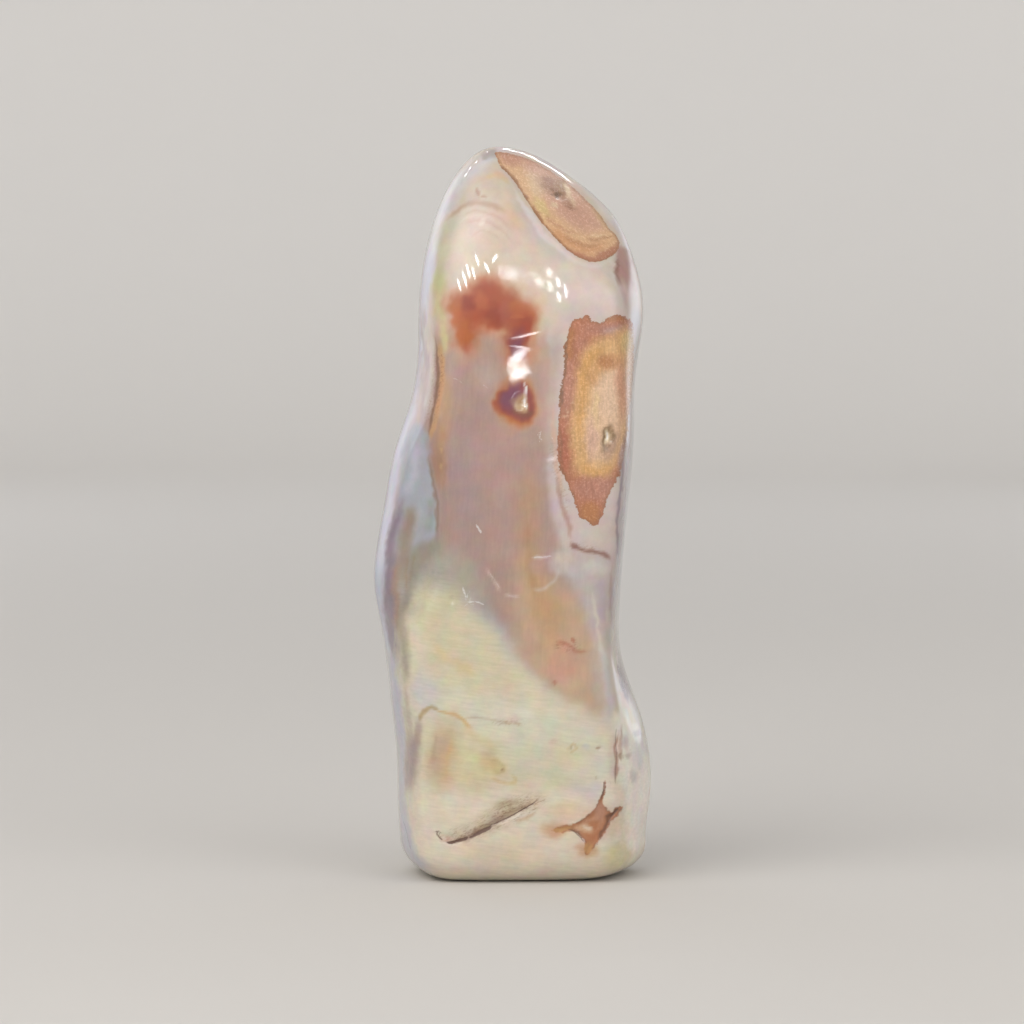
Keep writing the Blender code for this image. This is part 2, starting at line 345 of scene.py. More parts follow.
def skin(points):
    """Below zero inside the stone, above zero outside. Points are in millimetres."""
    outside = body(points)
    for sides, (softness, _) in LONG_FACES.items():
        outside = soft_max(outside, long_face(points, sides), softness)
    outside = soft_max(outside, scoop(points), SCOOP_SOFTNESS)
    for centre, azimuth, tilt, bow, softness in CROWN_FACES.values():
        outside = soft_max(outside, crown_face(points, centre, azimuth, tilt, bow), softness)
    return soft_max(outside + wheel_waves(points), -points[..., 2], FOOT_SOFTNESS)


def on_skin(starts, directions):
    """Where rays from inside the stone leave it, found by halving."""
    near = np.zeros(len(starts))
    far = np.full(len(starts), FARTHEST_REACH)
    for _ in range(HALVINGS):
        middle = (near + far) / 2
        inside = skin(starts + directions * middle[:, None]) < 0
        near = np.where(inside, middle, near)
        far = np.where(inside, far, middle)
    return starts + directions * near[:, None]


def rays():
    """Starts and directions of the rays, ring by ring from the foot up, and the summit's at the end."""
    across = np.linspace(-math.tan(FRONT_TURN), math.tan(FRONT_TURN), FRONT_COLUMNS, endpoint=False)
    share = np.linspace(0, 1, BACK_COLUMNS, endpoint=False)
    behind = FRONT_TURN + 2 * (math.pi - FRONT_TURN) * (share - 0.08 * np.sin(2 * math.pi * share))
    turns = np.concatenate([np.arctan(across), behind])
    level = np.stack([np.sin(turns), -np.cos(turns), np.zeros(COLUMNS)], axis=1)
    foot_top = FOOT_SLIVER + FOOT_SOFTNESS / 2
    heights = [FOOT_SLIVER + FOOT_SOFTNESS / 2 * (i / FOOT_RINGS) ** 2 for i in range(FOOT_RINGS)]
    heights += list(np.linspace(foot_top, PIVOT_HEIGHT, SIDE_RINGS, endpoint=False))
    starts = [np.tile([AXIS_X, AXIS_Y, height], (COLUMNS, 1)) for height in heights]
    directions = [level] * len(heights)
    for rise in np.linspace(0, math.pi / 2, CROWN_RINGS, endpoint=False):
        starts.append(np.tile([AXIS_X, AXIS_Y, PIVOT_HEIGHT], (COLUMNS, 1)))
        directions.append(level * math.cos(rise) + np.array([0, 0, math.sin(rise)]))
    starts.append(np.array([[AXIS_X, AXIS_Y, PIVOT_HEIGHT]]))
    directions.append(np.array([[0.0, 0.0, 1.0]]))
    return np.concatenate(starts), np.concatenate(directions)


def outward(points):
    """Unit normals of the skin at points on it."""
    steps = np.eye(3) * SLOPE_STEP
    slope = np.stack([skin(points + step) - skin(points - step) for step in steps], axis=-1)
    return slope / np.linalg.norm(slope, axis=-1, keepdims=True)


def clouds(points, size, shift=0.0):
    """Smooth noise from about -1 to 1 at points, with clouds of a size in millimetres, one for each axis."""
    places = points / np.array(size) + shift
    return 1.6 * np.array([noise.noise(place) for place in places.tolist()])


def smooth_step(share):
    """From 0 below zero to 1 above one, easing in and out."""
    share = np.clip(share, 0.0, 1.0)
    return share * share * (3 - 2 * share)


# The drawing of the show face

RISE = math.radians(VIEW_RISE)
VIEW_BACK = np.array([0.0, -math.cos(RISE), math.sin(RISE)])
VIEW_UP = np.array([0.0, math.sin(RISE), math.cos(RISE)])
VIEW_EYE = np.array([0.0, 0.0, AIM_HEIGHT]) + VIEW_BACK * VIEW_DISTANCE


def on_drawing(points):
    """Where points of the stone lie on the drawing, as u and v."""
    ray = points - VIEW_EYE
    scale = LENS / SENSOR * DRAWING / -(ray @ VIEW_BACK)
    return np.stack([DRAWING / 2 + ray[:, 0] * scale, DRAWING / 2 - (ray @ VIEW_UP) * scale], axis=1)


def rounded(points, closed=False, pieces=5):
    """A smooth line through points, as many short straight pieces."""
    points = np.array(points, float)
    if closed:
        run = np.concatenate([points[-1:], points, points[:2]])
    else:
        run = np.concatenate([2 * points[:1] - points[1:2], points, 2 * points[-1:] - points[-2:-1]])
    out = []
    for a, b, c, d in zip(run, run[1:], run[2:], run[3:]):
        for t in np.linspace(0, 1, pieces, endpoint=False):
            out.append(0.5 * (2 * b + (c - a) * t + (2 * a - 5 * b + 4 * c - d) * t * t
                              + (3 * b - a - 3 * c + d) * t**3))
    out.append(run[-2])
    return np.array(out)


def measure(at, line):
    """Distance from each place to a line, which side of it that is, and how far along it, from 0 to 1."""
    start, step = line[:-1], np.diff(line, axis=0)
    length = np.maximum(np.linalg.norm(step, axis=1), TINY)
    done = np.concatenate([[0], np.cumsum(length)])
    gap = at[:, None, :] - start[None]
    share = np.clip((gap * step).sum(-1) / length**2, 0, 1)
    apart = np.linalg.norm(gap - share[..., None] * step, axis=-1)
    nearest = apart.argmin(axis=1)
    row = np.arange(len(at))
    toward = gap[row, nearest]
    side = np.sign(step[nearest, 0] * toward[:, 1] - step[nearest, 1] * toward[:, 0])
    along = (done[nearest] + share[row, nearest] * length[nearest]) / done[-1]
    return apart[row, nearest], side, along


def is_inside(at, line):
    """Whether each place lies inside a closed line."""
    (x1, y1), (x2, y2) = line[:-1].T, line[1:].T
    x, y = at[:, :1], at[:, 1:]
    crosses = (y1 > y) != (y2 > y)
    height = np.where(np.abs(y2 - y1) < TINY, TINY, y2 - y1)
    return (crosses & (x < (x2 - x1) * (y - y1) / height + x1)).sum(axis=1) % 2 == 1


def around(at, line, margin):
    """Which places lie in a line's box, widened by a margin."""
    return ((at > line.min(0) - margin) & (at < line.max(0) + margin)).all(axis=1)


def depth_inside(at, outline):
    """How deep each place lies inside a closed outline, in drawing units, and below zero outside it."""
    line = rounded(outline, closed=True)
    depth = np.full(len(at), -OUTLINE_REACH)
    near = around(at, line, OUTLINE_REACH)
    apart, _, _ = measure(at[near], line)
    depth[near] = np.where(is_inside(at[near], line), apart, -np.minimum(apart, OUTLINE_REACH))
    return depth


def wash(colour, feather, strength, outline):
    """A soft-edged area inside a closed outline."""

    def cover(at):
        return strength * smooth_step(depth_inside(at, outline) / feather + 0.5)

    return colour, cover


def streak(colour, width, feather, strength, path, taper=0.25):
    """A soft line along a path, thinner towards its ends."""

    def cover(at):
        line = rounded(path)
        mask = np.zeros(len(at))
        near = around(at, line, width + feather)
        apart, _, along = measure(at[near], line)
        ends = smooth_step(np.minimum(along, 1 - along) / taper + 0.15) if taper else 1.0
        mask[near] = ends * smooth_step((width / 2 * ends - apart) / feather + 0.5)
        return strength * mask

    return colour, cover


def spot(colour, centre, radii, feather, strength, lean=0.0):
    """A soft egg-shaped spot, leaning clockwise by an angle in degrees."""

    def cover(at):
        turn = math.radians(lean)
        u, v = (at - np.array(centre)).T
        a, b = u * math.cos(turn) + v * math.sin(turn), v * math.cos(turn) - u * math.sin(turn)
        ratio = np.hypot(a / radii[0], b / radii[1])
        return strength * smooth_step((1 - ratio) * min(radii) / feather + 0.5)

    return colour, cover


# The ground of the show face, from the broad zones to the small marks
DOME = [
    wash("beige", 40, 1.0, [(400, 110), (660, 110), (680, 330), (560, 350), (440, 350), (390, 340)]),
    spot("beige_pink", (500, 226), (26, 22), 24, 0.6),
    spot("beige_gold", (518, 212), (14, 18), 16, 0.6, -30),
    spot("beige_grey", (466, 190), (20, 22), 22, 0.6),
    # Painted reflection: this mist streak down the crown's upper-left edge paints the pale shine of the rim.
    streak("mist", 13, 12, 0.7, [
        (424, 292), (429, 262), (433, 240), (438, 221), (445, 204), (454, 190), (465, 178), (479, 165),
        (492, 155), (503, 151),
    ], 0.1),
    streak("sage", 14, 13, 0.7, [(442, 300), (440, 286), (440, 268), (444, 244), (452, 224), (462, 212)]),
    spot("moss", (440, 283), (7, 15), 9, 0.75),
    streak("beige_brown", 4.5, 5, 0.6, [
        (444, 223), (449, 216), (456, 211), (464, 206), (474, 204), (486, 204), (498, 208), (508, 214),
    ]),
    streak("beige_gold", 5, 4, 0.7, [(482, 180), (489, 176), (497, 175), (504, 179), (510, 186)]),
    spot("umber_pink", (479, 193), (1.6, 3.2), 2.2, 0.7, -20),
    spot("umber_pink", (484, 197), (2, 1.4), 2, 0.5),
    spot("cream_pale", (484, 222), (3, 3), 4, 0.5),
    streak("beige_grey", 4, 4, 0.4, [(452, 236), (466, 226), (484, 231), (500, 241), (512, 252)]),
    streak("umber_pink", 1.8, 2.5, 0.16, [(460, 218), (470, 213), (484, 212), (498, 217), (510, 226)]),
    streak("umber_pink", 1.8, 2.5, 0.14, [(463, 228), (476, 221), (490, 223), (503, 231), (514, 243)]),
    streak("cream_pale", 1.6, 2.5, 0.25, [(456, 226), (468, 219), (484, 217), (500, 223), (514, 234)]),
    streak("umber_pink", 1.6, 2.5, 0.12, [(470, 238), (482, 231), (494, 234), (504, 243)]),
    streak("olive_grey", 6, 5, 0.5, [(480, 159), (489, 154), (499, 152)]),
    # Painted highlight: the pale grey and pearl streaks along the crown eye's lower-left border paint the
    # shine of the rounded ridge there.
    streak("pale_grey", 12, 11, 0.6, [
        (505, 176), (511, 190), (518, 204), (526, 217), (536, 232), (548, 247), (566, 260), (584, 268),
    ]),
    streak("pearl", 5, 4, 0.8, [
        (509, 180), (516, 192), (524, 205), (533, 219), (543, 233), (555, 245), (567, 256), (582, 264),
        (596, 266), (609, 261), (618, 252),
    ]),
    streak("beige_rose", 3, 3, 0.6, [(530, 215), (541, 230), (553, 243), (566, 254), (582, 262), (597, 264)]),
    # Painted highlight: this pearl streak along the crown's top edge paints the shine of its rim.
    streak("pearl", 9, 6, 0.8, [
        (490, 148), (506, 147), (520, 150), (534, 154), (547, 161), (560, 169), (572, 177), (584, 187),
        (595, 197), (604, 207), (612, 217), (619, 228), (626, 242), (631, 258),
    ], 0.05),
    wash("pink_white", 26, 0.75, [
        (560, 268), (615, 262), (632, 280), (634, 318), (610, 322), (575, 322), (556, 318), (545, 300),
    ]),
    streak("beige_pink", 5, 5, 0.6, [(594, 272), (592, 290), (588, 304), (584, 318)]),
    streak("wedge_mauve", 15, 6, 0.9, [(621, 246), (625, 270), (629, 292), (633, 318)], 0.1),
    streak("wedge_brown", 4, 3, 0.9, [(616, 254), (618, 272), (622, 296), (628, 314)]),
]
MIDDLE = [
    wash("mauve", 34, 1.0, [
        (428, 345), (470, 330), (528, 335), (546, 380), (548, 450), (560, 520), (580, 560), (600, 640),
        (600, 700), (560, 690), (510, 640), (480, 600), (440, 560), (420, 520), (420, 420),
    ]),
    spot("plum_grey", (468, 482), (22, 46), 30, 0.8),
    spot("mauve_rose", (498, 462), (30, 40), 34, 0.55),
    spot("mauve_rose", (505, 530), (22, 34), 30, 0.5),
    spot("mist_brown", (486, 376), (12, 16), 14, 0.55),
    spot("mauve_rose", (534, 528), (10, 12), 10, 0.5),
    wash("pink_white", 16, 0.85, [
        (552, 300), (640, 290), (650, 420), (640, 600), (634, 700), (600, 690), (588, 610), (566, 562),
        (556, 520), (550, 460), (548, 400), (546, 350),
    ]),
    streak("mist_brown", 12, 12, 0.9, [
        (566, 322), (556, 344), (553, 372), (551, 404), (551, 436), (553, 470),
    ]),
    streak("mauve_rose", 8, 8, 0.6, [(549, 322), (545, 344), (546, 372), (544, 404), (545, 440)]),
    streak("pale_lilac", 10, 10, 0.3, [(550, 446), (552, 478), (556, 506), (560, 530), (567, 552)]),
    streak("blush", 4, 3.5, 0.7, [(555, 400), (553, 430), (556, 460), (562, 482), (568, 500)]),
    wash("sand", 26, 0.9, [
        (520, 560), (560, 584), (588, 600), (594, 640), (600, 712), (570, 702), (540, 682), (514, 640),
    ]),
    streak("ochre", 20, 22, 0.5, [(531, 455), (528, 500), (529, 545), (538, 590), (547, 622), (553, 648)]),
    streak("ochre_dark", 7, 9, 0.5, [(529, 520), (528, 548), (531, 576), (537, 600)]),
    spot("ochre", (549, 612), (15, 26), 18, 0.45, -18),
    spot("mauve_rose", (536, 566), (9, 8), 9, 0.6),
    wash("pale_grey", 16, 0.85, [
        (556, 552), (580, 550), (604, 558), (613, 575), (613, 625), (604, 644), (590, 634), (580, 604),
        (566, 578),
    ]),
    spot("pearl", (596, 566), (12, 6), 8, 0.5),
    spot("pearl", (560, 566), (12, 8), 10, 0.45, 30),
    streak("lilac", 9, 8, 0.75, [(600, 572), (602, 590), (603, 610), (604, 626)]),
    spot("lilac_pink", (603, 610), (6, 10), 8, 0.6),
    streak("blush", 13, 12, 0.6, [(543, 664), (556, 672), (570, 682), (578, 694)]),
    spot("pink", (562, 662), (18, 17), 16, 0.75),
    spot("gold", (552, 648), (13, 12), 13, 0.2),
    streak("brick_rose", 3, 4, 0.45, [(553, 650), (559, 645), (568, 646), (576, 650), (590, 651)]),
    spot("brick_rose", (575, 641), (1.8, 1.8), 2, 0.6),
    spot("brick_rose", (556, 680), (2.4, 2.4), 2, 0.45),
    streak("cream_shade", 3.5, 3, 0.95, [
        (590, 580), (592, 600), (597, 622), (601, 645), (604, 666), (608, 686), (613, 702),
    ]),
    streak("mist", 7, 6, 0.5, [(602, 640), (603, 662), (608, 690), (613, 716)]),
    streak("tan_grey", 12, 12, 0.7, [(592, 640), (595, 668), (599, 694), (604, 714)]),
    # The soft brown seam under the side eye
    streak("wedge_mauve", 4, 4, 0.7, [(556, 470), (560, 490), (564, 510), (569, 528), (574, 543)]),
    streak("wedge_brown", 3.4, 3, 0.85, [
        (571, 540), (577, 545), (586, 549), (596, 552), (605, 556), (612, 562),
    ]),
    spot("wedge_brown", (576, 545), (4, 2.6), 3, 0.7, 20),
    # Fine fans of painted glints along old healed breaks
    streak("pearl", 2.4, 3, 0.6, [(530, 559), (541, 558), (552, 557)]),
    streak("pearl", 3, 5, 0.5, [(530, 590), (540, 589), (548, 585), (556, 577), (560, 565)]),
    streak("beige_rose", 3, 4, 0.6, [(484, 566), (491, 575), (498, 584), (503, 592)]),
    streak("beige_rose", 2.5, 2.5, 0.6, [(504, 593), (512, 596), (521, 598)]),
    spot("beige_rose", (565, 557), (9, 5), 5, 0.5),
    # The brown and green edge of the middle, towards the scoop
    streak("sliver_ochre", 11, 12, 0.7, [(447, 362), (446, 396), (442, 430), (440, 466), (441, 500)]),
    spot("umber_pink", (438, 466), (7, 15), 8, 0.6),
    spot("ochre_pale", (442, 452), (1.6, 2.2), 2.5, 0.5),
    spot("ochre_pale", (441, 467), (1.6, 2.6), 2.5, 0.45),
    streak("straw", 8, 6, 0.8, [(440, 292), (440, 310), (443, 330), (446, 346), (446, 362)]),
]
CLOUD = [
    wash("apricot", 26, 0.7, [
        (444, 311), (448, 296), (458, 287), (470, 279), (487, 273), (503, 278), (519, 287), (532, 297),
        (541, 308), (542, 326), (540, 346), (534, 362), (508, 368), (498, 350), (496, 338), (486, 334),
        (482, 342), (478, 354), (472, 364), (462, 358), (454, 344), (449, 329),
    ]),
    wash("brick", 21, 1.0, [
        (449, 311), (453, 297), (462, 290), (471, 284), (486, 279), (498, 283), (514, 292), (526, 301),
        (534, 311), (535, 325), (533, 342), (527, 357), (510, 360), (504, 346), (505, 331), (498, 324),
        (487, 326), (478, 333), (474, 345), (469, 354), (463, 346), (456, 329),
    ]),
    spot("cinnamon", (457, 314), (8, 16), 9, 0.8),
    spot("brick_dark", (468, 303), (8, 9), 8, 0.9),
    spot("brick_light", (480, 300), (7, 8), 8, 0.7),
    spot("brick_dark", (494, 314), (11, 9), 9, 0.65, 20),
    spot("brick_rose", (506, 316), (8, 13), 9, 0.65),
    spot("cinnamon", (466, 334), (8, 12), 8, 0.8),
    spot("cinnamon", (522, 309), (9, 7), 8, 0.6),
    spot("brick_red", (525, 328), (7, 12), 7, 0.8),
    spot("wine", (514, 340), (9, 12), 8, 0.9, 12),
    spot("plum", (518, 350), (8, 9), 8, 0.75),
    spot("apricot", (534, 346), (5, 13), 6, 0.7),
    streak("brick_light", 3, 3, 0.7, [(511, 317), (517, 316), (523, 318)]),
    # The ringed spot
    spot("apricot", (516, 404), (23, 28), 14, 0.6),
    spot("cinnamon", (516, 404), (18, 23), 13, 0.95),
    spot("brick_red", (503, 403), (7, 13), 7, 0.7),
    spot("wine", (517, 402), (16, 18), 8, 0.85),
    spot("plum", (511, 397), (8, 14), 9, 0.9, 20),
    spot("umber", (521, 411), (9, 4), 4, 0.6),
    spot("ring_tan", (519, 401), (6, 8), 5, 0.95),
    spot("olive_ochre", (519, 399), (2.4, 3), 3, 0.5),
    # Painted glint: a thin white streak down the ringed spot's middle.
    streak("white", 2.6, 2, 0.9, [(523, 382), (523, 390), (522, 398), (523, 408)]),
]
CREAM = [
    wash("cream", 26, 1.0, [
        (380, 626), (404, 604), (420, 594), (436, 588), (452, 592), (466, 602), (480, 616), (496, 636),
        (515, 656), (538, 680), (564, 698), (588, 714), (612, 726), (650, 740), (670, 800), (660, 900),
        (400, 900), (380, 800), (380, 700),
    ]),
    spot("green_grey", (450, 574), (42, 22), 28, 0.75, 40),
    streak("green_grey", 18, 22, 0.7, [(404, 620), (412, 600), (424, 582), (440, 568)]),
    spot("cream_green", (432, 606), (26, 24), 26, 0.6),
    wash("cream_deep", 30, 0.6, [(420, 600), (460, 600), (500, 650), (520, 690), (470, 690), (430, 660)]),
    wash("cream_white", 30, 0.75, [(405, 676), (450, 690), (520, 704), (600, 730), (620, 775), (560, 780),
                                   (500, 740), (440, 724), (405, 710)]),
    spot("mist", (425, 692), (13, 16), 15, 0.6),
    wash("cream_pink", 36, 0.8, [(410, 800), (500, 790), (640, 790), (660, 830), (650, 900), (410, 900)]),
    streak("gold_pale", 10, 10, 0.5, [(436, 640), (446, 656), (462, 668), (480, 672)]),
    streak("sage_pale", 12, 11, 0.5, [(446, 724), (458, 734), (468, 740)]),
    streak("olive_gold", 3.4, 3, 0.75, [(420, 722), (422, 713), (427, 708), (434, 707), (442, 711)]),
    streak("gold", 3.6, 3, 0.8, [(434, 708), (443, 712), (451, 715), (459, 718), (467, 725), (474, 733)]),
    streak("gold_pale", 7, 8, 0.45, [(462, 722), (469, 731), (478, 739), (488, 746), (500, 756)]),
    streak("tan_grey", 2.2, 2.5, 0.6, [(457, 716), (472, 717), (488, 720), (504, 724), (520, 726)]),
    spot("smudge", (446, 750), (12, 26), 24, 0.75, 10),
    spot("smudge_pink", (437, 760), (9, 22), 16, 0.55, 4),
    streak("gold", 3, 5, 0.6, [(452, 738), (449, 752), (446, 768), (444, 782)]),
    streak("beige_brown", 3, 5, 0.4, [(436, 736), (433, 750), (434, 766)]),
    spot("peach", (445, 774), (6, 14), 12, 0.5),
    spot("straw_pale", (474, 768), (24, 20), 24, 0.7),
    spot("gold", (493, 766), (13, 6), 11, 0.5, 28),
    streak("olive_gold", 2, 3, 0.35, [
        (486, 764), (492, 761), (499, 763), (503, 770), (498, 773), (490, 770),
    ]),
    streak("gold", 2.6, 4, 0.5, [(488, 776), (498, 780), (508, 783), (515, 783), (516, 779), (510, 774)]),
    spot("umber", (501, 770), (1.5, 1), 1.5, 0.5, 40),
    spot("sand", (487, 755), (6, 3), 6, 0.4),
    streak("sand", 2.4, 2.5, 0.7, [(500, 721), (508, 723), (516, 723), (524, 726)]),
    spot("beige_rose", (514, 719), (7, 4), 5, 0.7),
    streak("cream_pale", 8, 7, 0.6, [(498, 713), (520, 712), (540, 716)]),
    streak("smudge", 2.4, 2.6, 0.7, [(566, 747), (571, 752), (577, 750), (573, 745), (568, 753)]),
    spot("olive_grey", (571, 749), (1.4, 1.2), 1.5, 0.6),
    spot("umber", (600, 748), (2.2, 1), 1.5, 0.6),
    spot("beige_rose", (555, 741), (4, 3), 3, 0.7),
    spot("tan_grey", (595, 777), (1.6, 1.4), 2, 0.7),
    spot("mist", (587, 748), (4, 2.5), 3, 0.7),
    spot("straw_pale", (562, 757), (22, 12), 16, 0.4),
    spot("sage_pale", (556, 778), (16, 10), 12, 0.6),
    spot("pale_lilac", (590, 790), (14, 9), 11, 0.5),
    spot("straw_pale", (617, 856), (14, 12), 12, 0.9, -30),
    spot("straw_pale", (632, 834), (9, 14), 10, 0.5),
    spot("peach", (566, 812), (16, 8), 12, 0.35),
    spot("peach", (500, 852), (26, 10), 14, 0.25),
    spot("cream_pale", (468, 860), (9, 4), 5, 0.7, 10),
    spot("cream_pale", (450, 802), (12, 10), 10, 0.5),
    # Right of the star the stone turns to a mottled, paler face
    wash("bulge_grey", 12, 0.85, [
        (614, 716), (630, 722), (646, 745), (653, 775), (652, 812), (640, 850), (628, 840), (626, 800),
        (620, 780), (614, 750),
    ]),
    spot("mist", (640, 752), (6, 18), 8, 0.5),
    spot("lilac", (637, 734), (4, 4), 3.5, 0.6),
    spot("lilac_pink", (625, 742), (4, 6), 4, 0.5),
    spot("tan_grey", (628, 755), (4, 3), 3, 0.5),
    spot("tan_grey", (621, 756), (2.5, 2.8), 2, 0.9),
    spot("lilac", (633, 776), (4, 7), 4, 0.5),
    streak("beige_rose", 7, 5, 0.6, [(612, 726), (613, 748), (613, 768), (612, 786)]),
    streak("umber_pink", 3, 2.5, 0.65, [(617, 728), (616, 744), (617, 758), (616, 772), (615, 786)]),
    streak("umber_pink", 3, 2.5, 0.4, [(620, 724), (620, 740), (621, 760)]),
    # The long crack's stain
    wash("halo", 13, 0.6, [
        (452, 830), (470, 825), (488, 813), (504, 801), (524, 796), (543, 798), (536, 810), (514, 821),
        (492, 831), (472, 839), (454, 842),
    ]),
    streak("halo_dark", 5, 7, 0.7, [(466, 836), (484, 828), (502, 818), (520, 808), (538, 800)]),
    streak("halo_dark", 6, 8, 0.5, [(494, 812), (508, 804), (524, 799)]),
    streak("apricot", 4, 6, 0.5, [(516, 823), (527, 819), (538, 812)]),
    streak("cream_pale", 2, 3, 0.6, [(508, 822), (520, 817), (532, 813), (544, 811)]),
    spot("blush", (446, 838), (7, 3.5), 4, 0.9, 8),
    spot("cream_pale", (444, 837), (3, 1.4), 2, 0.8, 8),
    streak("crack", 3, 3, 0.5, [(452, 842), (462, 840), (474, 835), (488, 828)]),
    # Round the star
    spot("apricot", (556, 830), (14, 8), 9, 0.7),
    spot("apricot", (588, 851), (10, 7), 7, 0.7),
    spot("blush", (600, 822), (20, 17), 14, 0.5),
]
LEFT_SIDE = [
    # Painted reflection: the pale lavender and blue streaks along the left outline paint the bluish light
    # that the rim mirrors.
    streak("lavender_pale", 15, 8, 0.9, [
        (432, 240), (424, 280), (419, 320), (415, 360), (408, 400), (400, 440), (391, 480), (384, 520),
        (379, 556), (377, 590), (382, 630), (389, 670), (393, 700), (396, 740), (398, 780), (400, 815),
        (404, 840), (414, 862), (430, 872),
    ], 0.04),
    streak("rim_blue", 7, 6, 0.7, [(380, 548), (377, 575), (378, 600), (383, 632), (388, 662)]),
    streak("mauve_line", 4.5, 3.5, 0.75, [(423, 298), (424, 330), (425, 360), (424, 390), (422, 420)]),
    streak("beige", 8, 5, 0.8, [(430, 318), (431, 345), (431, 372), (429, 398), (426, 420)]),
    streak("sliver_tan", 6.5, 4, 0.9, [
        (438, 338), (442, 352), (443, 370), (441, 388), (438, 406), (435, 420), (431, 434), (429, 446),
    ], 0.15),
    streak("umber", 2.6, 3, 0.8, [
        (434, 334), (437, 346), (438, 358), (438, 371), (437, 386), (434, 400), (431, 414), (429, 427),
        (426, 442),
    ]),
    # The scoop: the pale blue above paints the bluish light that the hollow mirrors, and the brown and olive
    # where it meets the cream are painted shade
    wash("scoop_blue", 9, 1.0, [
        (408, 436), (416, 424), (424, 432), (429, 450), (433, 475), (436, 505), (436, 534), (426, 548),
        (414, 562), (404, 580), (396, 600), (392, 572), (394, 540), (399, 500), (402, 462),
    ]),
    streak("lavender", 10, 10, 0.8, [(420, 436), (416, 456), (412, 478), (404, 500)]),
    streak("scoop_brown", 12, 12, 0.9, [(413, 498), (410, 515), (407, 535), (403, 560), (400, 590)]),
    streak("sage_grey", 8, 9, 0.6, [(430, 495), (429, 515), (427, 534)]),
    streak("pale_grey", 5, 6, 0.4, [(420, 505), (418, 520), (415, 536)]),
    wash("olive_grey", 14, 0.75, [
        (404, 562), (416, 548), (432, 540), (438, 550), (424, 566), (413, 584), (406, 606), (399, 612),
        (399, 586),
    ]),
    streak("umber_olive", 2.4, 4, 0.3, [(408, 552), (406, 572), (405, 592)]),
    streak("umber_olive", 2.4, 4, 0.25, [(415, 552), (412, 566), (409, 582)]),
    streak("umber", 3, 4, 0.5, [(429, 448), (431, 466), (434, 490), (436, 515), (437, 546)]),
    streak("violet_grey", 9, 7, 1.0, [
        (411, 486), (402, 503), (395, 524), (391, 550), (389, 580), (390, 610), (393, 644), (397, 676),
    ]),
    streak("umber_pink", 6, 6, 0.7, [(398, 548), (396, 580), (396, 606), (399, 640)]),
    streak("olive_grey", 8, 9, 0.6, [(405, 580), (402, 604), (402, 632), (404, 662), (406, 690)]),
    streak("lavender", 8, 7, 0.7, [(389, 650), (393, 684), (396, 716), (398, 744)]),
    streak("mist_brown", 5, 5, 0.5, [(404, 680), (407, 710), (408, 740), (406, 780)]),
    streak("mauve_line", 8, 7, 0.65, [(420, 712), (417, 730), (413, 750), (411, 772), (410, 796)]),
    spot("plum_grey", (412, 760), (8, 24), 10, 0.5),
    # Painted reflection: this mist streak round the lower-left edge paints the rim's shine.
    streak("mist", 9, 8, 0.6, [(402, 798), (405, 826), (410, 848), (420, 862), (436, 872)]),
]
RIGHT_SIDE = [
    # Painted reflection: this grey streak along the right outline paints the rim's shine.
    streak("rim_grey", 9, 6, 0.85, [
        (636, 300), (638, 340), (637, 380), (634, 420), (631, 460), (627, 500), (622, 545), (619, 590),
        (620, 630), (622, 655),
    ], 0.05),
    streak("violet_grey", 3, 2.5, 0.7, [
        (627, 440), (624, 465), (620, 490), (619, 515), (618, 540), (618, 566),
    ]),
    streak("mauve_line", 3, 3, 0.6, [(611, 560), (612, 590), (613, 620), (616, 648), (618, 662)]),
    streak("cream_shade", 4, 4, 0.5, [(609, 600), (610, 625), (613, 650), (615, 676)]),
    streak("dusk", 7, 4, 1.0, [(622, 646), (621, 664), (622, 680), (625, 694), (630, 706)]),
    streak("lilac_deep", 5, 4, 0.7, [(623, 668), (626, 682), (629, 696)]),
    streak("blush", 6, 5, 0.8, [(619, 686), (622, 698), (627, 712)]),
    streak("gold_pale", 5, 4, 0.5, [(628, 706), (631, 716), (633, 726)]),
    streak("mist", 5, 4, 0.7, [(628, 676), (634, 696), (641, 716), (648, 742), (651, 768)]),
]

# Where the crisp outlines of the eyes and of the star run on the drawing
CROWN_EYE = [
    (495, 153), (497, 158), (501, 167), (512, 178), (520, 190), (527, 201), (536, 215), (547, 229),
    (558, 241), (570, 252), (582, 259), (593, 262), (604, 260), (613, 255), (619, 248), (619, 241),
    (615, 234), (609, 228), (603, 219), (596, 210), (587, 201), (577, 191), (567, 182), (555, 174),
    (543, 167), (531, 160), (519, 156), (508, 153), (500, 152),
]
SIDE_EYE = [
    (572, 320), (580, 318), (589, 316), (592, 321), (601, 322), (607, 318), (616, 315), (626, 317),
    (632, 323), (633, 338), (634, 361), (632, 392), (629, 415), (627, 438), (623, 461), (620, 472),
    (615, 483), (606, 499), (603, 514), (594, 526), (586, 521), (578, 514), (574, 500), (568, 484),
    (561, 471), (558, 456), (558, 438), (559, 415), (560, 392), (564, 369), (564, 350), (568, 334),
]
RUST_STAR = [
    (605, 779), (606, 790), (603, 799), (605, 806), (611, 812), (616, 807), (623, 807), (617, 816),
    (611, 822), (606, 831), (600, 840), (594, 848), (587, 855), (584, 850), (585, 842), (579, 835),
    (572, 831), (562, 833), (551, 831), (560, 826), (572, 824), (584, 818), (593, 810), (599, 800),
    (603, 789),
]

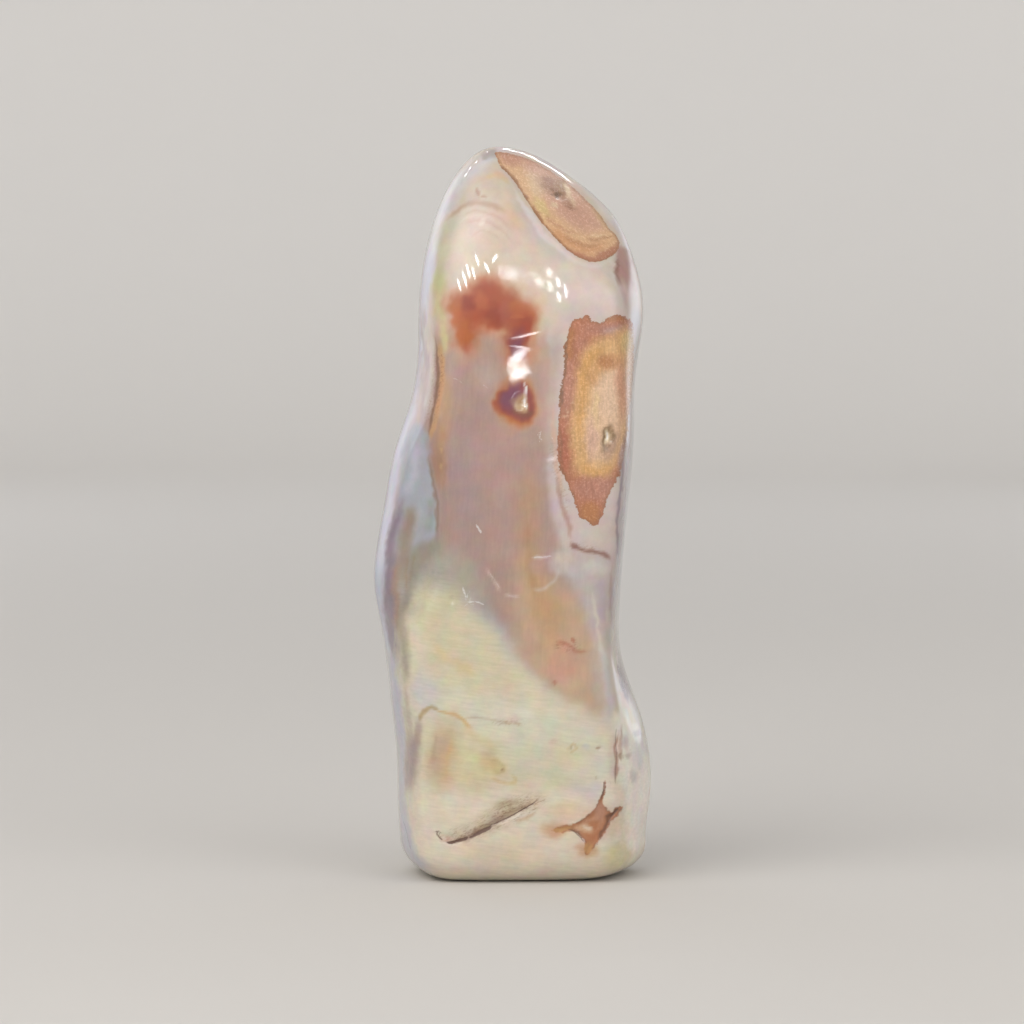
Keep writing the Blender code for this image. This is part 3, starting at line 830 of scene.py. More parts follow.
# What shows inside them
CROWN_EYE_MARKS = [
    wash("crown_gold", 6, 1.0, CROWN_EYE),
    wash("eye_pink", 14, 0.95, [
        (512, 150), (524, 170), (538, 190), (552, 208), (568, 222), (590, 230), (610, 226), (622, 206),
        (600, 170), (570, 140), (530, 130),
    ]),
    spot("eye_straw", (540, 207), (5, 12), 6, 0.8, -28),
    spot("eye_cream", (535, 184), (8, 12), 9, 0.5, -30),
    spot("crown_gold", (518, 174), (7, 12), 8, 0.7, -35),
    spot("eye_rose", (510, 158), (12, 7), 7, 0.8, 25),
    spot("eye_rose", (532, 160), (12, 6), 7, 0.5, 25),
    spot("blush", (538, 166), (8, 5), 6, 0.6, 25),
    spot("eye_shade", (551, 185), (13, 8), 9, 0.85, 24),
    spot("umber_pink", (549, 181), (6, 4), 5, 0.6, 30),
    spot("olive_ochre", (561, 189), (3.5, 8), 4, 0.85, -16),
    spot("umber_dark", (558, 196), (5, 2.6), 2.8, 0.95, 18),
    spot("umber", (553, 190), (4, 1.6), 2.5, 0.6, 30),
    streak("eye_shade", 5, 4, 0.8, [(556, 176), (561, 188), (565, 198), (572, 206), (577, 210)]),
    spot("umber", (571, 207), (4.5, 1.8), 2.4, 0.8, 30),
    streak("eye_cream", 4, 4, 0.9, [(562, 180), (567, 192), (572, 202), (577, 209)]),
    spot("eye_cream", (556, 205), (4, 2.5), 3, 0.9),
    spot("eye_rose", (576, 213), (22, 10), 14, 0.4, 35),
    spot("eye_straw", (603, 216), (6, 12), 8, 0.6, -30),
    streak("eye_orange", 10, 8, 0.7, [(548, 224), (562, 238), (578, 246), (596, 248), (612, 242)]),
    streak("umber_orange", 2.4, 3, 0.6, [(585, 236), (596, 239), (606, 238), (614, 236)]),
    streak("eye_cream", 2, 2.5, 0.5, [(586, 233), (597, 235), (607, 234), (614, 231)]),
    streak("eye_brick", 2.5, 3, 0.4, [(540, 212), (552, 222), (566, 230), (582, 233)]),
    streak("umber_orange", 4, 3, 0.35, [(560, 236), (574, 242), (590, 245), (606, 243)]),
    streak("eye_brick", 9, 6, 0.85, [(566, 249), (578, 256), (592, 260), (604, 257), (614, 250), (620, 240)]),
    streak("umber_orange", 4, 3, 0.8, [
        (500, 166), (512, 179), (520, 191), (527, 202), (536, 216), (547, 230), (558, 242), (570, 252),
    ], 0.05),
]
SIDE_EYE_MARKS = [
    wash("terracotta", 6, 1.0, SIDE_EYE),
    spot("terra_rose", (569, 384), (8, 26), 10, 0.7, 4),
    spot("terra_red", (563, 448), (6, 24), 7, 0.8),
    spot("terra_rose", (600, 329), (18, 7), 9, 0.7),
    spot("terra_rose", (582, 345), (6, 10), 8, 0.6),
    spot("lilac_pink", (614, 330), (9, 4), 6, 0.5),
    streak("terra_ochre", 7, 7, 0.7, [(573, 326), (570, 345), (568, 365)]),
    streak("umber_dark", 3, 3, 0.6, [(568, 330), (566, 346), (565, 366), (562, 392), (560, 420)]),
    streak("umber", 3, 3, 0.55, [(560, 420), (559, 446), (562, 470), (570, 490), (577, 508)]),
    streak("terra_ochre", 5, 4, 0.6, [(606, 322), (616, 318), (626, 321)]),
    wash("eye_gold", 14, 1.0, [
        (628, 328), (634, 344), (634, 380), (631, 415), (627, 440), (621, 460), (609, 476), (592, 479),
        (575, 470), (570, 440), (573, 410), (577, 380), (581, 356), (594, 340), (612, 334),
    ]),
    streak("eye_amber", 8, 7, 0.7, [(612, 344), (598, 352), (586, 364), (583, 392), (581, 420), (579, 446)]),
    streak("eye_amber", 9, 8, 0.6, [(580, 462), (592, 471), (604, 472), (614, 464)]),
    spot("eye_straw", (628, 342), (6, 9), 7, 0.7),
    wash("eye_peach", 13, 0.95, [
        (604, 372), (614, 366), (626, 372), (630, 396), (626, 424), (620, 446), (608, 460), (592, 460),
        (587, 440), (588, 410), (592, 388),
    ]),
    spot("terra_ochre", (608, 362), (11, 8), 9, 0.9, -10),
    spot("terra_ochre", (593, 376), (6, 9), 9, 0.35),
    spot("eye_peach_red", (622, 388), (6, 28), 9, 0.8),
    spot("eye_cream_pink", (606, 400), (7, 20), 9, 0.6),
    streak("eye_straw", 4, 5, 0.5, [(597, 388), (595, 408), (596, 426), (598, 440)]),
    spot("eye_pink_pale", (592, 440), (6, 18), 9, 0.8),
    spot("eye_shade", (611, 444), (8, 17), 9, 0.55, 4),
    spot("umber_olive", (608, 439), (6.5, 12.5), 3.5, 0.85, 4),
    spot("eye_shade", (611, 447), (4.5, 8), 4, 0.6),
    # Painted glint: the pale centre and white fleck in the pit.
    spot("eye_cream", (608, 437), (3, 7), 2, 1.0),
    spot("white", (608, 436), (1.4, 3.4), 1.2, 0.9),
    spot("terra_rose", (594, 490), (20, 12), 12, 0.8),
    spot("terra_ochre", (590, 514), (10, 10), 8, 0.7),
    spot("lilac_pink", (624, 456), (4, 16), 6, 0.7, 8),
    spot("eye_cream", (565, 417), (2, 1.6), 2, 0.6),
    spot("eye_cream", (567, 412), (2, 1.4), 2, 0.6),
    spot("eye_cream", (573, 401), (2, 1.4), 2, 0.5),
]
RUST_MARKS = [
    wash("rust", 4, 1.0, RUST_STAR),
    spot("rust_rose", (600, 812), (7, 10), 6, 0.9),
    spot("rust_orange", (595, 834), (6, 9), 6, 0.9, 30),
    streak("rust_pale", 5, 4, 0.8, [(578, 824), (586, 822), (595, 818), (600, 812)]),
    spot("peach", (584, 829), (9, 4), 4, 0.95, 14),
    spot("cream_pink", (588, 828), (5, 2.4), 3, 0.7, 20),
    streak("rust_pale", 3, 3, 0.6, [(604, 818), (600, 826), (595, 833)]),
    streak("rust_dark", 3, 3, 0.85, [(612, 815), (607, 824), (602, 833), (596, 842)]),
    streak("rust_dark", 4, 3, 0.9, [(606, 819), (612, 815), (620, 808)]),
    streak("rust_dark", 2.4, 2.5, 0.9, [(604, 782), (603, 793), (601, 801)]),
    streak("rust_dark", 2.4, 2.5, 0.8, [(568, 827), (574, 830), (580, 835), (585, 841)]),
    spot("rust_ochre", (560, 829), (12, 4), 5, 0.95),
    spot("rust_ochre", (588, 850), (6, 6), 5, 0.8),
]

# Hairline cracks: half width in millimetres at the widest, then the path
DARK_LINES = [
    (0.36, [(444, 842), (451, 843), (458, 841), (465, 839), (473, 836), (482, 832), (494, 826)]),
    (0.18, [
        (468, 838), (479, 832), (489, 827), (499, 822), (508, 818),
        (517, 813), (526, 808), (534, 803), (541, 798),
    ]),
    (0.18, [(436, 830), (438, 836), (443, 841)]),
    (0.14, [(436, 836), (438, 831), (442, 834)]),
    (0.06, [(572, 542), (577, 545), (586, 549), (596, 552), (606, 557)]),
    (0.14, [(617, 724), (616, 740), (617, 755), (616, 770), (615, 788)]),
    (0.16, [(604, 780), (604, 788), (602, 797)]),
    (0.16, [(607, 824), (612, 817), (620, 808)]),
    (0.16, [(566, 829), (573, 831), (579, 836), (585, 843)]),
    (0.10, [(402, 818), (406, 830), (409, 844), (412, 852)]),
]
# Healed breaks, painted white as the glints that they throw.
PALE_LINES = [
    (0.30, [(476, 524), (479, 529), (482, 534)]),
    (0.26, [(462, 586), (465, 595), (469, 605)]),
    (0.22, [(468, 602), (477, 602), (485, 605)]),
    (0.10, [(472, 596), (468, 603), (463, 608)]),
    (0.10, [(488, 571), (494, 579), (501, 590)]),
    (0.08, [(506, 594), (514, 597), (522, 598)]),
    (0.16, [(530, 558), (541, 557), (553, 556)]),
    (0.16, [(537, 434), (540, 438), (543, 440)]),
    (0.14, [(541, 430), (540, 438), (539, 444)]),
    (0.12, [(550, 435), (552, 438), (554, 441)]),
    (0.10, [(452, 378), (458, 380), (464, 384)]),
    (0.10, [(482, 384), (485, 386), (488, 389)]),
]

# Where the polish turns grainy, streaky or clear
GRAINY = [
    wash(1.0, 14, 1.0, [
        (450, 832), (470, 826), (488, 813), (504, 802), (524, 797), (545, 798), (534, 811), (512, 822),
        (490, 832), (470, 840), (452, 844),
    ]),
    streak(0.8, 12, 6, 1.0, [(434, 338), (438, 360), (437, 385), (432, 410), (428, 436)]),
    streak(0.5, 9, 6, 1.0, [(553, 432), (555, 460), (562, 490), (569, 520)]),
    spot(0.6, (566, 646), (14, 6), 6, 1.0),
    spot(0.5, (508, 723), (16, 4), 4, 1.0),
    spot(0.7, (584, 548), (14, 5), 5, 1.0, 12),
]
STREAKY = [
    wash(1.0, 30, 1.0, [
        (380, 598), (436, 556), (466, 590), (515, 656), (564, 698), (612, 726), (670, 760), (660, 900),
        (400, 900), (380, 700),
    ]),
]
CLEAR = [
    wash(1.0, 40, 1.0, [
        (430, 345), (470, 330), (528, 335), (546, 380), (548, 450), (560, 520), (590, 560), (600, 640),
        (600, 700), (560, 690), (510, 640), (480, 600), (440, 560), (430, 520), (430, 420),
    ]),
]

# Small dents: centre on the drawing, radii in drawing units, lean, and depth in millimetres
DENTS = [
    ((608, 438), (4.5, 8.5), 3, 0.55),
    ((559, 196), (5, 3), 15, 0.1),
    ((520, 402), (4.5, 6), 0, 0.35),
    ((600, 748), (2.5, 1.8), 0, 0.2),
    ((621, 756), (2.8, 3), 0, 0.25),
    ((452, 600), (2.2, 4), 0, 0.2),
    ((478, 194), (2.5, 4), -20, 0.12),
    ((447, 837), (7, 3), 8, 0.2),
]
GROOVES = [
    (4.5, 0.35, [
        (438, 832), (441, 839), (452, 843), (460, 840), (479, 831), (499, 821), (517, 813), (540, 800),
    ]),
    (4.0, 0.12, [(617, 726), (616, 745), (617, 758), (615, 786)]),
    (4.0, 0.08, [(435, 336), (438, 356), (438, 372), (434, 399), (429, 426), (427, 438)]),
]
STAR_DEPTH = 0.3


# The sides and the back on their own drawing
BACK_MARKS = [
    wash("mauve", 70, 0.85, [
        (360, 360), (470, 320), (600, 350), (690, 430), (640, 560), (520, 600), (400, 560),
    ]),
    wash("cream", 60, 0.9, [
        (150, 640), (300, 600), (420, 620), (540, 660), (680, 640), (880, 600), (880, 900), (150, 900),
    ]),
    wash("sand", 40, 0.7, [(380, 560), (460, 540), (520, 590), (560, 660), (500, 690), (420, 640)]),
    wash("scoop_blue", 50, 0.8, [(250, 380), (330, 350), (350, 450), (330, 560), (260, 560), (230, 470)]),
    spot("pink_white", (600, 250), (70, 50), 50, 0.7, 20),
    spot("beige_gold", (430, 240), (50, 34), 36, 0.6, -20),
    streak("ochre", 18, 22, 0.6, [(610, 470), (620, 520), (600, 570), (610, 620)]),
    streak("lilac", 20, 20, 0.6, [(330, 300), (345, 360), (340, 430), (350, 500)]),
    streak("violet_grey", 10, 12, 0.6, [(720, 480), (700, 540), (705, 610), (690, 690)]),
    spot("green_grey", (470, 640), (60, 22), 28, 0.7, 16),
    # Red clouds
    wash("apricot", 26, 0.7, [
        (556, 396), (580, 372), (612, 366), (640, 380), (652, 410),
        (636, 438), (606, 430), (590, 448), (566, 432),
    ]),
    wash("brick", 20, 1.0, [
        (564, 398), (584, 380), (612, 376), (634, 388), (640, 408),
        (626, 424), (602, 416), (588, 434), (572, 420),
    ]),
    spot("brick_dark", (592, 398), (12, 10), 9, 0.8),
    spot("wine", (622, 402), (10, 12), 8, 0.8),
    spot("cinnamon", (578, 412), (8, 12), 8, 0.8),
    spot("cinnamon", (332, 470), (16, 20), 10, 0.8),
    spot("wine", (333, 468), (10, 12), 8, 0.8),
    spot("ring_tan", (334, 467), (4, 5), 4, 0.9),
    streak("gold", 4, 5, 0.7, [(420, 720), (450, 730), (486, 728), (520, 742), (560, 744)]),
    streak("gold_pale", 9, 10, 0.6, [(560, 790), (600, 780), (640, 786)]),
    spot("smudge", (500, 780), (34, 16), 20, 0.6, -12),
    streak("beige_brown", 4, 5, 0.6, [(540, 210), (570, 200), (606, 204), (640, 222)]),
    streak("umber_pink", 4, 5, 0.6, [(660, 690), (668, 730), (660, 780)]),
]
BACK_EYES = [
    [
        (424, 330), (444, 318), (462, 324), (478, 318), (492, 332), (500, 366), (506, 410), (500, 452),
        (488, 492), (470, 518), (452, 508), (438, 476), (424, 440), (416, 396), (418, 356),
    ],
    [
        (602, 570), (626, 558), (648, 570), (664, 600), (668, 638), (656, 674), (634, 694), (614, 682),
        (598, 650), (590, 608),
    ],
    [(356, 610), (376, 596), (396, 606), (406, 640), (400, 680), (382, 704), (364, 690), (352, 652)],
    [(560, 232), (596, 218), (632, 232), (650, 262), (636, 286), (600, 292), (570, 276), (554, 254)],
]
BACK_EYE_MARKS = [
    wash("terra_rose", 10, 0.6, BACK_EYES[0]),
    wash("eye_gold", 14, 1.0, [
        (436, 350), (458, 338), (480, 350), (488, 390), (490, 430), (478, 470), (460, 488), (444, 460),
        (432, 420), (430, 380),
    ]),
    wash("eye_peach", 12, 1.0, [
        (448, 376), (464, 368), (474, 392), (476, 426), (466, 456), (454, 446), (446, 412),
    ]),
    spot("umber_olive", (461, 424), (7, 12), 4, 0.85),
    # Painted glint: the pale centre of this pit, as in the side eye's pit on the show face.
    spot("eye_cream", (461, 423), (3, 7), 2, 1.0),
    spot("eye_amber", (629, 626), (26, 42), 14, 0.9),
    spot("eye_peach", (630, 628), (16, 28), 12, 0.9),
    spot("eye_shade", (632, 640), (7, 10), 6, 0.7),
    spot("eye_gold", (379, 650), (18, 34), 12, 0.9),
    spot("terra_red", (380, 648), (8, 16), 8, 0.7),
    spot("eye_gold", (602, 256), (30, 22), 12, 0.9),
    spot("eye_pink", (606, 256), (18, 12), 10, 0.9),
    spot("olive_ochre", (600, 262), (6, 4), 4, 0.8),
]
BACK_LINES = [
    (0.30, [(400, 770), (430, 776), (462, 790), (492, 794), (524, 808)]),
    (0.14, [(700, 430), (694, 470), (702, 510), (698, 544)]),
    (0.12, [(520, 560), (548, 556), (572, 562), (600, 556)]),
    (0.14, [(380, 250), (388, 290), (380, 330), (386, 360)]),
]
BACK_PITS = [
    ((461, 424), (4.5, 8), 0, 0.5),
    ((632, 640), (4, 5), 0, 0.4),
    ((600, 262), (4, 3), 0, 0.3),
    ((560, 640), (3, 3), 0, 0.25),
]
BACK_MIDDLE_U = 512
FOOT_V = 877
ARC_PER_DEGREE = 0.42


def on_back(points):
    """Where points lie on the unrolled drawing of the sides and the back."""
    azimuth = np.degrees(np.arctan2(points[:, 0] - AXIS_X, AXIS_Y - points[:, 1])) % 360
    arc = (azimuth - 180) * ARC_PER_DEGREE
    return np.stack([BACK_MIDDLE_U + arc * UNITS_PER_MM, FOOT_V - points[:, 2] * UNITS_PER_MM], axis=1)


def paint(canvas, at, marks, where=1.0):
    """Lays marks on a canvas of colours, one over the other."""
    for colour, cover in marks:
        mask = (cover(at) * where)[:, None]
        canvas += (np.array(COLOURS[colour]) / 255 - canvas) * mask


def amount(at, marks, where):
    """How much of a quality each place has, from 0 to 1."""
    total = np.zeros(len(at))
    for most, cover in marks:
        total += (most - total) * cover(at)
    return total * where


def linear(colours):
    """Display colours as the light that they stand for."""
    return np.where(colours <= 0.04045, colours / 12.92, ((colours + 0.055) / 1.055) ** 2.4)


def bands(value, stops):
    """Colours that run smoothly through (value, colour name) stops."""
    places = [place for place, _ in stops]
    shades = np.array([COLOURS[name] for _, name in stops]) / 255
    return np.stack([np.interp(value, places, shades[:, i]) for i in range(3)], axis=1)


def hairlines(at, lines, where):
    """For each place the offset across the nearest hairline and its half width there, in millimetres."""
    offset = np.full(len(at), FAR_OFF)
    width = np.zeros(len(at))
    for half, path in lines:
        line = rounded(path)
        near = np.flatnonzero(around(at, line, HAIRLINE_REACH) & where)
        apart, side, along = measure(at[near], line)
        nearer = apart / UNITS_PER_MM < np.abs(offset[near])
        rows = near[nearer]
        offset[rows] = (apart * np.where(side < 0, -1, 1))[nearer] / UNITS_PER_MM
        fade = smooth_step(2 - 2 * apart / HAIRLINE_REACH) * smooth_step(np.minimum(along, 1 - along) / 0.12)
        width[rows] = half * fade[nearer]
    return offset, width


def dent_depth(at, pits, grooves=()):
    """How far the small pits and grooves sink the skin, in millimetres."""
    sink = np.zeros(len(at))
    for centre, radii, lean, depth in pits:
        _, cover = spot(None, centre, radii, 1.2 * min(radii), depth, lean)
        sink += cover(at)
    for width, depth, path in grooves:
        _, cover = streak(None, width, width, depth, path)
        sink += cover(at)
    return sink


def add_layer(mesh, name, values):
    """Stores one number or one colour for each point of a mesh."""
    if values.ndim == 1:
        layer = mesh.attributes.new(name, "FLOAT", "POINT")
        layer.data.foreach_set("value", values.astype(np.float32))
    else:
        layer = mesh.attributes.new(name, "FLOAT_COLOR", "POINT")
        shades = np.concatenate([linear(values) * DAYLIGHT, np.ones((len(values), 1))], axis=1)
        layer.data.foreach_set("color", shades.astype(np.float32).ravel())


def make_stone():
    """The fine skin with its colours, as one mesh object."""
    points = on_skin(*rays())
    normals = outward(points)
    drawn, wrapped = on_drawing(points), on_back(points)
    front = normals @ VIEW_BACK > 0
    facing = smooth_step((normals @ VIEW_BACK) / 0.25)

    drift = clouds(points, (40, 40, 40), 3.1) * 11 + clouds(points, (13, 13, 13), 7.7) * 3
    ground = bands(points[:, 2] + drift, [
        (0, "cream_pink"), (22, "cream"), (38, "cream_green"), (50, "scoop_blue"), (64, "plum_grey"),
        (86, "mauve"), (104, "beige_pink"), (124, "beige"), (146, "lavender"),
    ])
    veil = smooth_step(0.5 + 0.9 * clouds(points, (7, 7, 60), 1.3) + 0.4 * clouds(points, (3, 3, 30), 5.3))
    ground += (np.array(COLOURS["lavender"]) / 255 - ground) * (0.6 * veil)[:, None]

    wander = np.stack([clouds(points, (6, 6, 6), 11.0), clouds(points, (6, 6, 6), 23.0)], axis=1)
    wander += 0.4 * np.stack([clouds(points, (2, 2, 2), 31.0), clouds(points, (2, 2, 2), 43.0)], axis=1)
    crumble = np.stack([clouds(points, (1, 1, 1.2), 51.0), clouds(points, (1, 1, 1.2), 67.0)], axis=1)
    paint(ground, wrapped + 4.5 * wander + 1.2 * crumble, BACK_MARKS, 1 - facing)
    for marks in (DOME, MIDDLE, CREAM, LEFT_SIDE, RIGHT_SIDE):
        paint(ground, drawn + 2.2 * wander + 0.7 * crumble, marks, facing)
    paint(ground, drawn + 4.5 * wander + 1.2 * crumble, CLOUD, facing)

    eye_paint = np.tile(np.array(COLOURS["terracotta"]) / 255, (len(points), 1))
    for marks in (CROWN_EYE_MARKS, SIDE_EYE_MARKS, RUST_MARKS):
        paint(eye_paint, drawn + 1.8 * wander + 1.5 * crumble, marks)
    paint(eye_paint, wrapped + 1.8 * wander + 1.5 * crumble, BACK_EYE_MARKS, 1.0 * ~front)

    hidden = np.where(front, 0.0, FAR_OUTSIDE)
    back_edge = np.max([depth_inside(wrapped, outline) for outline in BACK_EYES], axis=0) / UNITS_PER_MM
    back_edge += np.where(front, FAR_OUTSIDE, 0.0)
    crown_edge = depth_inside(drawn, CROWN_EYE) / UNITS_PER_MM + hidden
    side_edge = depth_inside(drawn, SIDE_EYE) / UNITS_PER_MM + hidden
    star_edge = depth_inside(drawn, RUST_STAR) / UNITS_PER_MM + hidden
    dark_offset, dark_width = hairlines(drawn, DARK_LINES, front)
    back_offset, back_width = hairlines(wrapped, BACK_LINES, ~front)
    pale_offset, pale_width = hairlines(drawn, PALE_LINES, front)
    sink = STAR_DEPTH * smooth_step(star_edge / 0.8) + dent_depth(drawn, DENTS, GROOVES)
    points -= normals * np.where(front, sink, dent_depth(wrapped, BACK_PITS))[:, None]

    points[:COLUMNS, 2] = 0.0
    mesh = bpy.data.meshes.new(NODE)
    rings = np.arange(len(points) - 1).reshape(-1, COLUMNS)
    nxt = np.roll(rings, -1, axis=1)
    quads = np.stack([rings[:-1], nxt[:-1], nxt[1:], rings[1:]], axis=-1).reshape(-1, 4)
    top = len(points) - 1
    fan = [(a, b, top) for a, b in zip(rings[-1].tolist(), nxt[-1].tolist())]
    mesh.from_pydata((points * MM).tolist(), [], quads.tolist() + fan + [rings[0][::-1].tolist()])
    mesh.shade_smooth()
    add_layer(mesh, "ground", ground)
    add_layer(mesh, "eye_paint", eye_paint)
    add_layer(mesh, "eye_edge", np.max([crown_edge, side_edge, back_edge], axis=0))
    add_layer(mesh, "star_edge", star_edge)
    add_layer(mesh, "ragged", np.where(side_edge > crown_edge, 1.0, 0.4))
    add_layer(mesh, "dark_offset", np.where(front, dark_offset, back_offset))
    add_layer(mesh, "dark_width", np.where(front, dark_width, back_width))
    add_layer(mesh, "pale_offset", pale_offset)
    add_layer(mesh, "pale_width", pale_width)
    add_layer(mesh, "grainy", amount(drawn, GRAINY, facing))
    add_layer(mesh, "streaky", amount(drawn, STREAKY, facing))
    add_layer(mesh, "clear", amount(drawn, CLEAR, facing))
    stone = bpy.data.objects.new("jasper", mesh)
    bpy.context.scene.collection.objects.link(stone)
    return stone


def add_node(tree, kind, inputs=None, **settings):
    """A shader node with its settings and inputs. An input is a value or another node's output."""
    node = tree.nodes.new("ShaderNode" + kind)
    for name, value in settings.items():
        setattr(node, name, value)
    for name, value in (inputs or {}).items():
        if isinstance(value, bpy.types.NodeSocket):
            tree.links.new(value, node.inputs[name])
        else:
            node.inputs[name].default_value = value
    return node


def calc(tree, operation, *values):
    """A math node's result, for an operation on one, two or three numbers."""
    return add_node(tree, "Math", dict(enumerate(values)), operation=operation).outputs[0]


def eased(tree, value, low, high, most=1.0):
    """From 0 where a value is low to most where it is high, easing in and out."""
    inputs = {"Value": value, "From Min": low, "From Max": high, "To Max": most}
    return add_node(tree, "MapRange", inputs, interpolation_type="SMOOTHSTEP").outputs["Result"]


def blend(tree, share, under, over, kind="MIX"):
    """One colour laid over another."""
    node = add_node(tree, "Mix", data_type="RGBA", blend_type=kind)
    for index, value in ((0, share), (6, under), (7, over)):
        if isinstance(value, bpy.types.NodeSocket):
            tree.links.new(value, node.inputs[index])
        else:
            node.inputs[index].default_value = value
    return node.outputs[2]


def shade(name):
    """A named colour as a socket's value."""
    return tuple(linear(np.array(COLOURS[name]) / 255) * DAYLIGHT) + (1.0,)


def polished_jasper():
    """Glossy jasper: soft, cloudy ground, and eyes and rust patches with crisp, ragged edges."""
    material = bpy.data.materials.new("polished_jasper")
    material.use_nodes = True
    tree = material.node_tree
    shader = tree.nodes["Principled BSDF"]
    place = add_node(tree, "TexCoord").outputs["Object"]
    place = add_node(tree, "VectorMath", {0: place, "Scale": 1 / MM}, operation="SCALE").outputs[0]

    def layer(name, output="Fac"):
        return add_node(tree, "Attribute", attribute_name=name).outputs[output]

    def grain(size, detail=3.0, rough=0.5, stretch=(1, 1, 1), turn=0.0, output="Fac"):
        at = {"Vector": place, "Rotation": (0, turn, 0), "Scale": stretch}
        at = add_node(tree, "Mapping", at, vector_type="TEXTURE")
        inputs = {"Vector": at.outputs[0], "Scale": 1 / size, "Detail": detail, "Roughness": rough}
        return add_node(tree, "TexNoise", inputs).outputs[output]

    def about(value, share):
        """A grain as a number around zero."""
        return calc(tree, "MULTIPLY", calc(tree, "SUBTRACT", value, 0.5), share)

    # Ground: slow clouds, finer mottling, fine grain, and streaks where the stone has them
    mottle = grain(1.2, 4.0, 0.6)
    fine = grain(0.35, 2.0)
    light = calc(tree, "ADD", about(grain(5.0, 4.0), 0.16), 1.0)
    light = calc(tree, "ADD", light, about(mottle, 0.10))
    light = calc(tree, "ADD", light, about(fine, 0.07))
    drawn_out = about(grain(0.9, 4.0, 0.6, (4.5, 1.6, 0.6), 0.12), 0.3)
    light = calc(tree, "ADD", light, calc(tree, "MULTIPLY", drawn_out, layer("streaky")))
    upright = about(grain(1.1, 3.0, 0.5, (0.6, 1.2, 4.0), 0.05), 0.2)
    light = calc(tree, "ADD", light, calc(tree, "MULTIPLY", upright, layer("clear")))
    ground = add_node(tree, "VectorMath", {0: layer("ground", "Color"), "Scale": light}, operation="SCALE")
    hues = grain(3.2, 3.0, 0.5, output="Color")
    hues = blend(tree, 0.16, (1, 1, 1, 1), blend(tree, 1.0, hues, (2, 2, 2, 1), "MULTIPLY"))
    ground = blend(tree, 1.0, ground.outputs[0], hues, "MULTIPLY")
    specks = eased(tree, grain(0.5, 4.0, 0.75, (2.2, 1.0, 0.7), -0.5), 0.45, 0.7, 0.75)
    specks = calc(tree, "MULTIPLY", specks, layer("grainy"))
    ground = blend(tree, specks, ground, shade("umber"))

    # Healed breaks, painted white as the glints that they throw
    ragged_line = about(grain(0.8, 3.0, 0.6), 0.5)
    pale = calc(tree, "ABSOLUTE", calc(tree, "ADD", layer("pale_offset"), ragged_line))
    pale_width = layer("pale_width")
    pale = calc(tree, "SUBTRACT", calc(tree, "ADD", pale_width, 0.06), pale)
    pale = calc(tree, "MULTIPLY", eased(tree, pale, 0.0, 0.3), eased(tree, pale_width, 0.0, 0.14, 0.55))
    pale = calc(tree, "MULTIPLY", pale, eased(tree, grain(0.5, 2.0), 0.35, 0.55))
    ground = blend(tree, pale, ground, shade("white"))

    # Eyes: their own colours, granular, inside a ragged edge with a dark line
    torn = calc(tree, "ADD", about(grain(1.3, 4.0, 0.65), 1.5), about(grain(0.35, 3.0, 0.6), 0.9))
    edge = calc(tree, "ADD", layer("eye_edge"), calc(tree, "MULTIPLY", torn, layer("ragged")))
    inside = eased(tree, edge, -0.06, 0.06)
    crumbs = grain(0.55, 4.0, 0.75)
    eye_light = calc(tree, "ADD", about(crumbs, 0.8), about(grain(0.6, 3.0, 0.6, (0.7, 1.0, 4.0)), 0.7))
    eye_light = calc(tree, "ADD", eye_light, about(grain(2.4, 3.0), 0.35))
    eye_light = calc(tree, "ADD", calc(tree, "MULTIPLY", eye_light, layer("ragged")), 1.0)
    eye_paint = layer("eye_paint", "Color")
    eye = add_node(tree, "VectorMath", {0: eye_paint, "Scale": eye_light}, operation="SCALE")
    rim_width = calc(tree, "ADD", 0.35, calc(tree, "MULTIPLY", grain(1.6, 3.0), 0.7))
    rim = calc(tree, "SUBTRACT", rim_width, edge)
    rim = calc(tree, "MULTIPLY", eased(tree, rim, 0.0, 0.6, 0.8), eased(tree, crumbs, 0.36, 0.62))
    surface = blend(tree, inside, ground, blend(tree, rim, eye.outputs[0], shade("umber_rim")))

    # The star of rust
    star = calc(tree, "ADD", layer("star_edge"), about(grain(0.9, 4.0, 0.7), 1.1))
    star_inside = eased(tree, star, -0.2, 0.25, 0.95)
    patchy = eased(tree, grain(1.5, 2.0), 0.4, 0.6)
    star_rim = calc(tree, "MULTIPLY", eased(tree, star, 0.5, 0.05, 0.6), patchy)
    star_paint = blend(tree, star_rim, eye.outputs[0], shade("rust_dark"))
    surface = blend(tree, star_inside, surface, star_paint)

    # Dark cracks
    crack_wander = about(grain(0.5, 3.0, 0.65), 0.36)
    dark = calc(tree, "ABSOLUTE", calc(tree, "ADD", layer("dark_offset"), crack_wander))
    dark_width = layer("dark_width")
    dark = calc(tree, "SUBTRACT", calc(tree, "ADD", dark_width, 0.05), dark)
    dark = calc(tree, "MULTIPLY", eased(tree, dark, 0.0, 0.22), eased(tree, dark_width, 0.0, 0.24, 0.95))
    surface = blend(tree, dark, surface, shade("crack"))
    tree.links.new(surface, shader.inputs["Base Color"])

    rough = calc(tree, "ADD", 0.03, calc(tree, "MULTIPLY", mottle, 0.04))
    rough = calc(tree, "ADD", rough, calc(tree, "MULTIPLY", inside, eased(tree, crumbs, 0.3, 0.7, 0.3)))
    rough = calc(tree, "ADD", rough, calc(tree, "MULTIPLY", dark, 0.5))
    rough = calc(tree, "ADD", rough, calc(tree, "MULTIPLY", specks, 0.3))
    tree.links.new(calc(tree, "MAXIMUM", rough, 0.03), shader.inputs["Roughness"])

